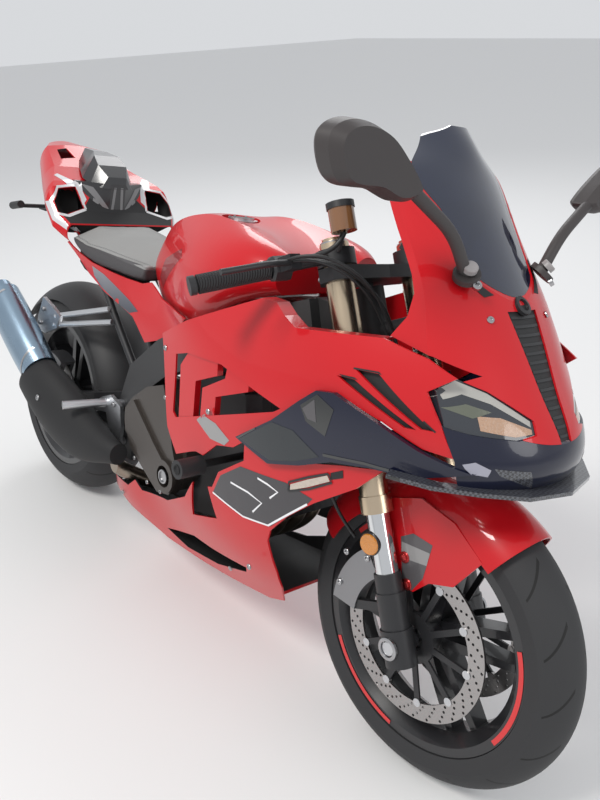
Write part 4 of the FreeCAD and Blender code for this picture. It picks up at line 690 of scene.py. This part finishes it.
# Mirrors: housings of grained dark plastic on long stems, with silvered glass. A round cap and a
# socket-head screw stand on each foot, where it is fixed to the fairing.
GLASS_BACK = 1382
mirror_brown = finish("mirror_brown", (0.042, 0.036, 0.036), 0.5, grain=0.4, grain_size=0.0009)
dress(mirror_brown, "mirrors")
mirror_glass = finish("mirror_glass", (0.75, 0.77, 0.8), 0.03, metal=1.0, rough_drift=0.02, grain=0.01)
paint(mirror_glass, "mirrors", lambda x, y, z, n: n[0] < -0.97 and x < GLASS_BACK)
cap_grey = finish("cap_grey", (0.3, 0.28, 0.28), 0.4, grain=0.2)
turned("mirror_caps", [((1434, -111, 990), (0.5, -0.4, 0.8))],
       [(-6, 12), (2, 12), (4, 10.5), (4.6, 1)], cap_grey, segments=28)
turned("mirror_screws", [((1446, -104, 963), (0.6, -0.5, 0.6))], screw(7.5, 6), segments=20)

# Tank: pressed steel under the red lacquer, with a darker film above each knee. Its flush filler cap is
# alloy with a black middle, held by a ring of six small screws.
CAP_MIDDLE, CAP_TOP, CAP_BLACK, CAP_SCREWS = 712, 955.5, 29.5, 26
cap_places = [((CAP_MIDDLE + CAP_SCREWS * math.cos(t), CAP_SCREWS * math.sin(t), CAP_TOP), (-0.05, 0, 1))
              for t in [math.radians(60 * k) for k in range(6)]]
turned("cap_screws", cap_places, screw(3, 2.5), segments=14, both=False)
paint(satin_black, "tank_cap", lambda x, y, z, n: math.hypot(x - CAP_MIDDLE, y) < CAP_BLACK)
tank_shade = finish("tank_shade", (0.3, 0.006, 0.01), 0.4, coat=1.0, grain=0.03)
laid_on("tank_knee_film", ["tank"],
        [[(560, 790), (600, 842), (700, 884), (716, 868), (640, 812), (588, 770)]], tank_shade, lift=0.3)

# Seat: moulded foam under two vinyls, a pale grained top with flat facets and darker skirts, sewn together
# in a seam that draws the vinyl in, with a row of stitches above it. The foam is blown up a little as
# cloth; the material draws the fold and the stitches.
SEAM_MIDDLE = (300, 0, 807)
SEAM_SLOPE, SEAM_REAR_SLOPE, SEAM_REAR_START = -0.06, 0.10, -0.05
SEAM_REACH, SEAM_PULL, SEAM_SIDE = 5, 0.010, 40
STITCH_OFF, STITCH_HALF, STITCH_PITCH = 0.0045, 0.0007, 0.007
TOP_HEIGHT, TOP_MIDDLE, TOP_SLOPE, TOP_REAR, TOP_REAR_SLOPE = 843, 300, 0.012, 235, 0.13
BEVEL_SLOPE, BEVEL_FROM, BEVEL_TAPER, BEVEL_MIDDLE = 0.42, 74, 0.10, 200
FRONT_SLOPE, FRONT_FROM = 0.30, 440
PUFF, PUFF_FRAMES, SWELL = 4.0, 15, 0.002


def seam_height(x):
    along = (x - SEAM_MIDDLE[0]) / 1000
    return SEAM_MIDDLE[2] + 1000 * (SEAM_SLOPE * along + SEAM_REAR_SLOPE * max(0, SEAM_REAR_START - along))


seat_vinyl = finish("seat_vinyl", (0.27, 0.27, 0.265), 0.6, grain=0.5, grain_size=0.0022, cells=True,
                    drift=0.05)
seat_tree = seat_vinyl.node_tree
along_seat, _, up_seat = place_from(seat_tree, SEAM_MIDDLE)
on_seat = sums(seat_tree)
rear_part = on_seat("MAXIMUM", on_seat("MULTIPLY_ADD", along_seat, -1, SEAM_REAR_START), 0)
above_seam = on_seat("MULTIPLY_ADD", rear_part, -SEAM_REAR_SLOPE,
                     on_seat("MULTIPLY_ADD", along_seat, -SEAM_SLOPE, up_seat))


def ripple(tree, along, turns):
    work = sums(tree)
    return work("SINE", work("MULTIPLY", along, turns))


def stepped(value, slope=1500, start=0.5):
    sharp = on_seat("MULTIPLY_ADD", value, slope, start)
    sharp.node.use_clamp = True
    return sharp


off_stitch = on_seat("ABSOLUTE", on_seat("SUBTRACT", above_seam, STITCH_OFF))
in_line = stepped(on_seat("MULTIPLY_ADD", off_stitch, -1, STITCH_HALF), 3000)
in_dash = stepped(ripple(seat_tree, along_seat, 2 * math.pi / STITCH_PITCH), 8, 2.0)
stitch_share = on_seat("MULTIPLY", in_line, in_dash)
tint(seat_tree, (0.055, 0.052, 0.055), stepped(on_seat("MULTIPLY", above_seam, -1)))
tint(seat_tree, (0.16, 0.16, 0.165), stitch_share)
seam_fold = stepped(on_seat("ABSOLUTE", above_seam), 400, 0.0)
relief(seat_tree, on_seat("ADD", seam_fold, stitch_share), 0.0015)
seat_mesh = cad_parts["rider_seat"].data.copy()
seat_mesh.materials.clear()
seat = placed("seat_cushion", seat_mesh)
bpy.context.view_layer.objects.active = seat
remesh = seat.modifiers.new("remesh", "REMESH")
remesh.mode, remesh.voxel_size = "VOXEL", 0.005


def settle(piece):
    # Applies every modifier of a piece to its mesh
    graph = bpy.context.evaluated_depsgraph_get()
    made = bpy.data.meshes.new_from_object(piece.evaluated_get(graph))
    piece.modifiers.clear()
    piece.data = made


settle(seat)


def seat_lid(x, y):
    # Height that the facets of the top allow: a flat middle, a bevel each side and a slope at each end
    middle = TOP_HEIGHT + TOP_REAR_SLOPE * max(0, TOP_REAR - x) - TOP_SLOPE * (x - TOP_MIDDLE)
    bevel = BEVEL_SLOPE * (abs(y) - (BEVEL_FROM - BEVEL_TAPER * (x - BEVEL_MIDDLE)))
    return min(middle, middle - bevel, middle - FRONT_SLOPE * (x - FRONT_FROM))


for vertex in seat.data.vertices:
    x, y, z = back_upright(vertex.co)
    lid = seat_lid(x, y)
    if z > lid:
        vertex.co = upright(x, y, lid)
before = [vertex.co.copy() for vertex in seat.data.vertices]
pressure = seat.modifiers.new("cloth", "CLOTH")
pressure.settings.use_pressure = True
pressure.settings.uniform_pressure_force = PUFF
pressure.settings.effector_weights.gravity = 0.0
for step in range(1, PUFF_FRAMES + 1):
    bpy.context.scene.frame_set(step)
settle(seat)
bpy.context.scene.frame_set(1)
for vertex, start in zip(seat.data.vertices, before):
    moved = vertex.co - start
    if moved.length > SWELL:
        vertex.co = start + moved.normalized() * SWELL
for vertex in seat.data.vertices:
    x, y, z = back_upright(vertex.co)
    near_seam = abs(z - seam_height(x))
    if near_seam < SEAM_REACH and abs(y) > SEAM_SIDE:
        vertex.co = upright(x, y * (1 - SEAM_PULL * (1 - near_seam / SEAM_REACH)), z)
seat.data.materials.append(seat_vinyl)
seat.data.shade_smooth()
soften = seat.modifiers.new("soften", "SUBSURF")
soften.levels = soften.render_levels = 1
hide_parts("rider_seat")
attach(seat, "chassis")

# Seat pan: the tray of moulded black plastic that the foam sits in, three millimetres thick, with its
# sides turned down behind the side covers
PAN_EDGE = [(500, 768, 98), (440, 767, 110), (376, 769, 119), (278, 775, 127), (222, 788, 130),
            (192, 802, 128)]
PAN_DEPTH, PAN_THICK = 46, 0.003
pan_shape = bmesh.new()
pan_rows = []
for x, z, half in PAN_EDGE:
    ring = [(-half, z - PAN_DEPTH), (-half, z), (half, z), (half, z - PAN_DEPTH)]
    pan_rows.append([pan_shape.verts.new(upright(x, y, height)) for y, height in ring])
for row, behind in zip(pan_rows, pan_rows[1:]):
    for k in range(3):
        pan_shape.faces.new([row[k], row[k + 1], behind[k + 1], behind[k]])
bmesh.ops.solidify(pan_shape, geom=pan_shape.faces[:], thickness=PAN_THICK)
bmesh.ops.recalc_face_normals(pan_shape, faces=pan_shape.faces)
add_built("seat_pan", "chassis", pan_shape, bare_back)

# Hump and tail: a moulded gloss black hump with flat facets over a red shell whose inside is bare black. The
# hump's top faces and three facets at its front are painted grey, a painted reflection of light. Silver rims
# are bonded round its two scoops; the pale fans and navy blades are films and the lamp is red plastic.
# Hugger, plate holder, radiator frame, sliders and dash are bare moulded plastic.
HUMP_TOP = 1000
TAIL_MIDDLE, TAIL_FLAT, TAIL_LEAST, TAIL_FRONT = 915, 0.8, -3, 120
SCOOP_FOOT = [(-99, 890), (-150, 876), (-175, 880)]
SCOOP_BROW = [(-175, 880), (-178, 905), (-157, 936), (-108, 942), (-99, 890)]
SCOOP_MIDDLE, SCOOP_OVERSIZE = (-140, 908), 1.13
AMBER_FROM = 142
hump_black = finish("hump_black", (0.012, 0.012, 0.014), 0.32, coat=0.7, coat_roughness=0.18, grain=0.03)
dress(hump_black, "seat_cowl")
hump_painted_sheen = finish("hump_painted_sheen", (0.17, 0.17, 0.175), 0.35, coat=0.6, grain=0.2)
# Grey on the hump's upward faces: a painted reflection of light
paint(hump_painted_sheen, "seat_cowl", lambda x, y, z, n: z > HUMP_TOP and n[2] > 0.8)
lining = finish("lining", (0.01, 0.01, 0.011), 0.65, grain=0.4)


def tail_back(x, y, z, n):
    # The shell's inner faces look toward a line through its middle
    return n[1] * y + n[2] * (z - TAIL_MIDDLE) * TAIL_FLAT < TAIL_LEAST or n[0] < -0.5 and x > TAIL_FRONT


paint(lining, "tail_cowl", tail_back)
rim_silver = finish("rim_silver", (0.62, 0.62, 0.63), 0.3, metal=0.4, coat=0.6, grain=0.1)
fan_white = finish("fan_white", (0.55, 0.55, 0.57), 0.32, coat=0.9, grain=0.05)
scoop_lines = [[(SCOOP_MIDDLE[0] + SCOOP_OVERSIZE * (y - SCOOP_MIDDLE[0]),
                 SCOOP_MIDDLE[1] + SCOOP_OVERSIZE * (z - SCOOP_MIDDLE[1])) for y, z in line]
               for line in (SCOOP_FOOT, SCOOP_BROW)]
laid_on("scoop_rims", ["tail_cowl"], [ribbon(line, 6) for line in scoop_lines],
        rim_silver, lift=0.8, step=4, plan="front")
laid_on("tail_fans", ["tail_cowl", "seat_cowl"],
        [[(130, -84), (146, -108), (60, -146), (48, -132), (96, -96)]], fan_white,
        lift=0.7, step=5, plan="above")
# Grey on three facets at the hump's front: painted reflections of light
laid_on("hump_facet_sheen", ["seat_cowl"],
        [[(-92, 952), (-64, 946), (-24, 892), (-34, 888)], [(-70, 888), (-60, 888), (-48, 908), (-64, 918)],
         [(-14, 950), (-6, 950), (-10, 890), (-18, 890)]], hump_painted_sheen, lift=0.8, step=4, plan="front")
laid_on("seat_side_trim", ["tail_cowl"],
        [[(184, 852), (150, 878), (122, 904), (104, 900), (150, 858), (186, 838)]], fan_white,
        lift=0.6, step=5)
laid_on("tail_blades", ["tail_cowl"],
        [[(99, 850), (60, 862), (-60, 902), (-140, 948), (-152, 938), (-80, 882), (20, 848), (80, 838)]],
        navy_gloss, lift=0.7, step=7)
dress(finish("lamp_red", (0.3, 0.004, 0.006), 0.12, coat=1.0, grain=0.6, grain_size=0.006, cells=True),
      "tail_light")
moulded_black = finish("moulded_black", (0.02, 0.02, 0.022), 0.55, grain=0.4)
dress(moulded_black, "rear_hugger", "plate_holder", "radiator", "frame_sliders", "dash", "cowl_stay")
paint(amber_lens, "plate_holder", lambda x, y, z, n: abs(y) > AMBER_FROM and n[0] < -0.3)

# Side covers: moulded panels beside the seat, lacquered red, each with a long film that fades from navy
# at its foot to grey at its top
COVER_MIDDLE, FADE_RATE, FADE_START = (360, 0, 715), 14.0, 0.35
fade, fade_tree, _ = plain_nodes("cover_fade", {"Roughness": 0.28, "Coat Weight": 1.0})
_, _, up_cover = place_from(fade_tree, COVER_MIDDLE)


def graded(tree, share, foot, top):
    # A base colour that goes from one to the other as the share goes from 0 to 1
    tone = tree.nodes.new("ShaderNodeValToRGB")
    for stop, colour in zip(tone.color_ramp.elements, (foot, top)):
        stop.color = (*colour, 1)
    tree.links.new(share, tone.inputs["Fac"])
    tree.links.new(tone.outputs["Color"], tree.nodes["Principled BSDF"].inputs["Base Color"])


graded(fade_tree, sums(fade_tree)("MULTIPLY_ADD", up_cover, FADE_RATE, FADE_START),
       (0.012, 0.016, 0.035), (0.20, 0.20, 0.23))
laid_on("cover_panels", ["side_covers"],
        [[(282, 762), (340, 752), (470, 712), (512, 696), (470, 682), (405, 693), (322, 716),
          (288, 738)]], fade)

# Frame, engine and pipes: a painted frame round a cast engine. Screws hold its bronze clutch cover along
# the rim, the black oil plug sits in a bright ring, and the pipes are steel tinted by their heat.
CLUTCH_EDGE = [(728, 552), (760, 486), (782, 410), (782, 352), (735, 318), (676, 318), (612, 356)]
CLUTCH_FACE, OIL_HOLE = -179, (750, 365)
dress(finish("frame_grey", (0.05, 0.05, 0.052), 0.5, metal=0.4, grain=0.3), "frame")
dress(finish("engine_cast", (0.05, 0.048, 0.05), 0.55, metal=0.4, grain=0.5, grain_size=0.0016), "engine")
dress(finish("engine_bronze", (0.062, 0.052, 0.046), 0.4, metal=0.55, coat=0.3, grain=0.3),
      "engine_covers")
turned("clutch_screws", [((x, CLUTCH_FACE, z), (0, -1, 0)) for x, z in CLUTCH_EDGE],
       screw(5, 3), segments=16, both=False)
turned("oil_ring", [((OIL_HOLE[0], -186.2, OIL_HOLE[1]), (0, -1, 0))],
       [(-2, 17), (1.5, 17), (2.5, 15.5), (2.5, 13), (-1, 12.5)], segments=32, both=False)
turned("oil_plug", [((OIL_HOLE[0], -184, OIL_HOLE[1]), (0, -1, 0))],
       [(-6, 12.8), (0, 12.8), (0.5, 11), (0.5, 1)], lining, segments=32, both=False)
dress(finish("pipe_steel", (0.32, 0.27, 0.22), 0.3, metal=1.0, grain=0.1), "exhaust_headers")

# Radiator: an alloy core between the forks and the engine, with rows of thin upright fins, in a frame of
# black plastic. The material draws the fins on its front face as stripes: grey fins, with painted shade
# in the gaps between them.
FIN_TURNS, CORE_MIDDLE, CORE_HALF = 1800, (1040, 0, 560), 140
fins, fins_tree, _ = plain_nodes("radiator_fin_shade_stripes", {"Metallic": 0.6, "Roughness": 0.5})
_, across_fins, _ = place_from(fins_tree, CORE_MIDDLE)
# Near-black stripes are painted shade between the fins; the grey ones are the fins
graded(fins_tree, ripple(fins_tree, across_fins, FIN_TURNS), (0.006, 0.006, 0.007), (0.10, 0.10, 0.105))
paint(fins, "radiator", lambda x, y, z, n: n[0] > 0.6 and abs(y) < CORE_HALF)

# Silencer: brushed steel with a cool tint, two bright bands round it and a black tail, under a matt black
# guard that two bright screws hold
TAIL_PIPE_FROM = -50
can_steel = finish("can_steel", (0.30, 0.40, 0.50), 0.27, metal=1.0, grain=0.35, grain_size=0.0008,
                   stretch=(0.08, 1, 1), drift=0.12)
dress(can_steel, "silencer")
paint(satin_black, "silencer", lambda x, y, z, n: x < TAIL_PIPE_FROM)
guard_matt = finish("guard_matt", (0.02, 0.02, 0.021), 0.62, grain=0.35, grain_size=0.0008, specular=0.3)
dress(guard_matt, "silencer_shield")
laid_on("can_bands", ["silencer"],
        [ribbon([(-26, 532), (6, 662)], 6), ribbon([(146, 404), (176, 520)], 6)], screw_steel,
        lift=0.8, step=7, both=False)
turned("guard_screws",
       [((262, -272, 408), (0, -1, 0.2)), ((500, -222, 318), (0, -1, 0.1))],
       [(-5, 8), (2, 8), (3, 6.8), (3, 3.5), (1, 3.2)], segments=20, both=False)

# Footrests and sliders: footrests and plates of bead-blasted alloy, with two screws through each rider's
# plate and two through each passenger's. The sliders are plastic buffers, black cups over their bolts.
turned("footrest_screws",
       [((484, -172, 450), (0, -1, 0)), ((496, -172, 352), (0, -1, 0)),
        ((80, -178, 600), (0, -1, 0)), ((60, -178, 556), (0, -1, 0))],
       screw(7, 4), segments=18)
turned("slider_bolts", [((948, -285.5, 484), (0, -1, 0))],
       [(-1, 11), (1, 11), (1.5, 9.5), (-0.5, 8)], lining)

# Steering: clamps in satin black with bright pinch screws and fork caps, ribbed rubber grips, black levers,
# a brake-fluid cup of amber plastic with a black lid and foot, and switch boxes inside the grips
RIB_TURNS, RIB_DEPTH, GRIP_MIDDLE = 1500, 0.0012, (1080, 0, 900)
RAKE, STEER_FOOT = math.radians(24.5), 1528.0
STEER_AXIS = (-math.sin(RAKE), 0, math.cos(RAKE))
FORK_OUT, FORK_TOP, STEM_TOP = 35.8, 1049.9, 1004.9
UPPER_PINCH, LOWER_PINCH, PINCH_SIDE = (992.9, 1022.9), (766.9, 780.9), -112
CUP_FOOT, CUP_LID = 1054, 1096
grip_rubber = finish("grip_rubber", (0.02, 0.02, 0.022), 0.75, grain=0.5, grain_size=0.0015)
grip_tree = grip_rubber.node_tree
_, along_grip, _ = place_from(grip_tree, GRIP_MIDDLE)
relief(grip_tree, ripple(grip_tree, along_grip, RIB_TURNS), RIB_DEPTH)
dress(grip_rubber, "grips")
dress(finish("cup_amber", (0.20, 0.085, 0.03), 0.14, coat=1.0, grain=0.05), "brake_reservoir")


def fork_point(out, y, along):
    # A place given by how far it is in front of the steering axis, to the left, and up along the axis
    return (STEER_FOOT + out * math.cos(RAKE) - along * math.sin(RAKE), y,
            out * math.sin(RAKE) + along * math.cos(RAKE))


def up_axis(x, z):
    return (x - STEER_FOOT) * STEER_AXIS[0] + z * STEER_AXIS[2]


paint(satin_black, "brake_reservoir", lambda x, y, z, n: not CUP_FOOT <= up_axis(x, z) <= CUP_LID)
turned("fork_caps", [(fork_point(FORK_OUT, -105, FORK_TOP), STEER_AXIS)],
       [(-2, 25), (3, 25), (4, 23), (4, 14), (9, 13), (9, 6), (6, 5.5)], segments=32, body="steering")
turned("stem_nut", [(fork_point(0, 0, STEM_TOP), STEER_AXIS)],
       [(-2, 19), (6, 19), (7, 17), (7, 10), (3, 9)], segments=6, both=False, body="steering")
pinch_places = [(fork_point(FORK_OUT - 40, PINCH_SIDE, up), (-0.9, 0, -0.4)) for up in UPPER_PINCH]
pinch_places += [(fork_point(FORK_OUT + 34, PINCH_SIDE, up), (0.9, 0, 0.4)) for up in LOWER_PINCH]
turned("pinch_screws", pinch_places, screw(5, 4), segments=16, body="steering")
turned("bar_switches", [((1109, -214, 924), (-0.25, -1, -0.1))],
       [(-18, 20), (-16, 23), (14, 23), (18, 19)], satin_black, segments=8, body="steering")


# Hoses and cables: brake hoses and throttle cables in black rubber, and a clutch cable in a sleeve of
# wound steel. Each one runs as a smooth curve between the fittings at its two ends.
hose_rubber = finish("hose_rubber", (0.015, 0.015, 0.016), 0.45, grain=0.3, grain_size=0.002)


def hose(name, points, radius, material=hose_rubber):
    curve = bpy.data.curves.new(name, "CURVE")
    curve.dimensions = "3D"
    spline = curve.splines.new("NURBS")
    spline.points.add(len(points) - 1)
    for control, place in zip(spline.points, points):
        control.co = (*upright(*place), 1)
    spline.order_u = 3
    spline.use_endpoint_u = True
    curve.bevel_depth = radius / 1000
    curve.bevel_resolution = 3
    curve.materials.append(material)
    line = placed(name, curve)
    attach(line, "steering")
    upright(*points[0])


wire_steel = finish("wire_steel", (0.22, 0.22, 0.23), 0.35, metal=0.9, grain=0.5, grain_size=0.0015)
hose("cup_hose",
     [(1178, -135, 1000), (1177, -139, 984), (1166, -160, 962), (1150, -186, 951), (1141, -200, 947)],
     4.5)
hose("brake_hose_upper",
     [(1150, -206, 944), (1176, -196, 954), (1222, -160, 946), (1258, -104, 900), (1276, -66, 826),
      (1290, -50, 752), (1300, -46, 700)],
     3.4)
hose("brake_hose_lower",
     [(1205, -122, 690), (1202, -146, 664), (1222, -160, 600), (1246, -146, 530), (1262, -118, 476),
      (1280, -98, 446)],
     3.4)
hose("throttle_cable_a",
     [(1136, -236, 938), (1164, -232, 958), (1214, -196, 966), (1256, -132, 926), (1274, -86, 852),
      (1268, -40, 790), (1236, -20, 768)],
     2.6)
hose("throttle_cable_b",
     [(1132, -228, 936), (1158, -226, 950), (1206, -192, 954), (1246, -130, 914), (1264, -84, 842),
      (1258, -40, 782), (1228, -14, 760)],
     2.6)
hose("clutch_cable",
     [(1136, 232, 938), (1160, 228, 956), (1204, 190, 956), (1234, 128, 912), (1244, 78, 844),
      (1242, 38, 786), (1226, 16, 764)],
     2.8, wire_steel)
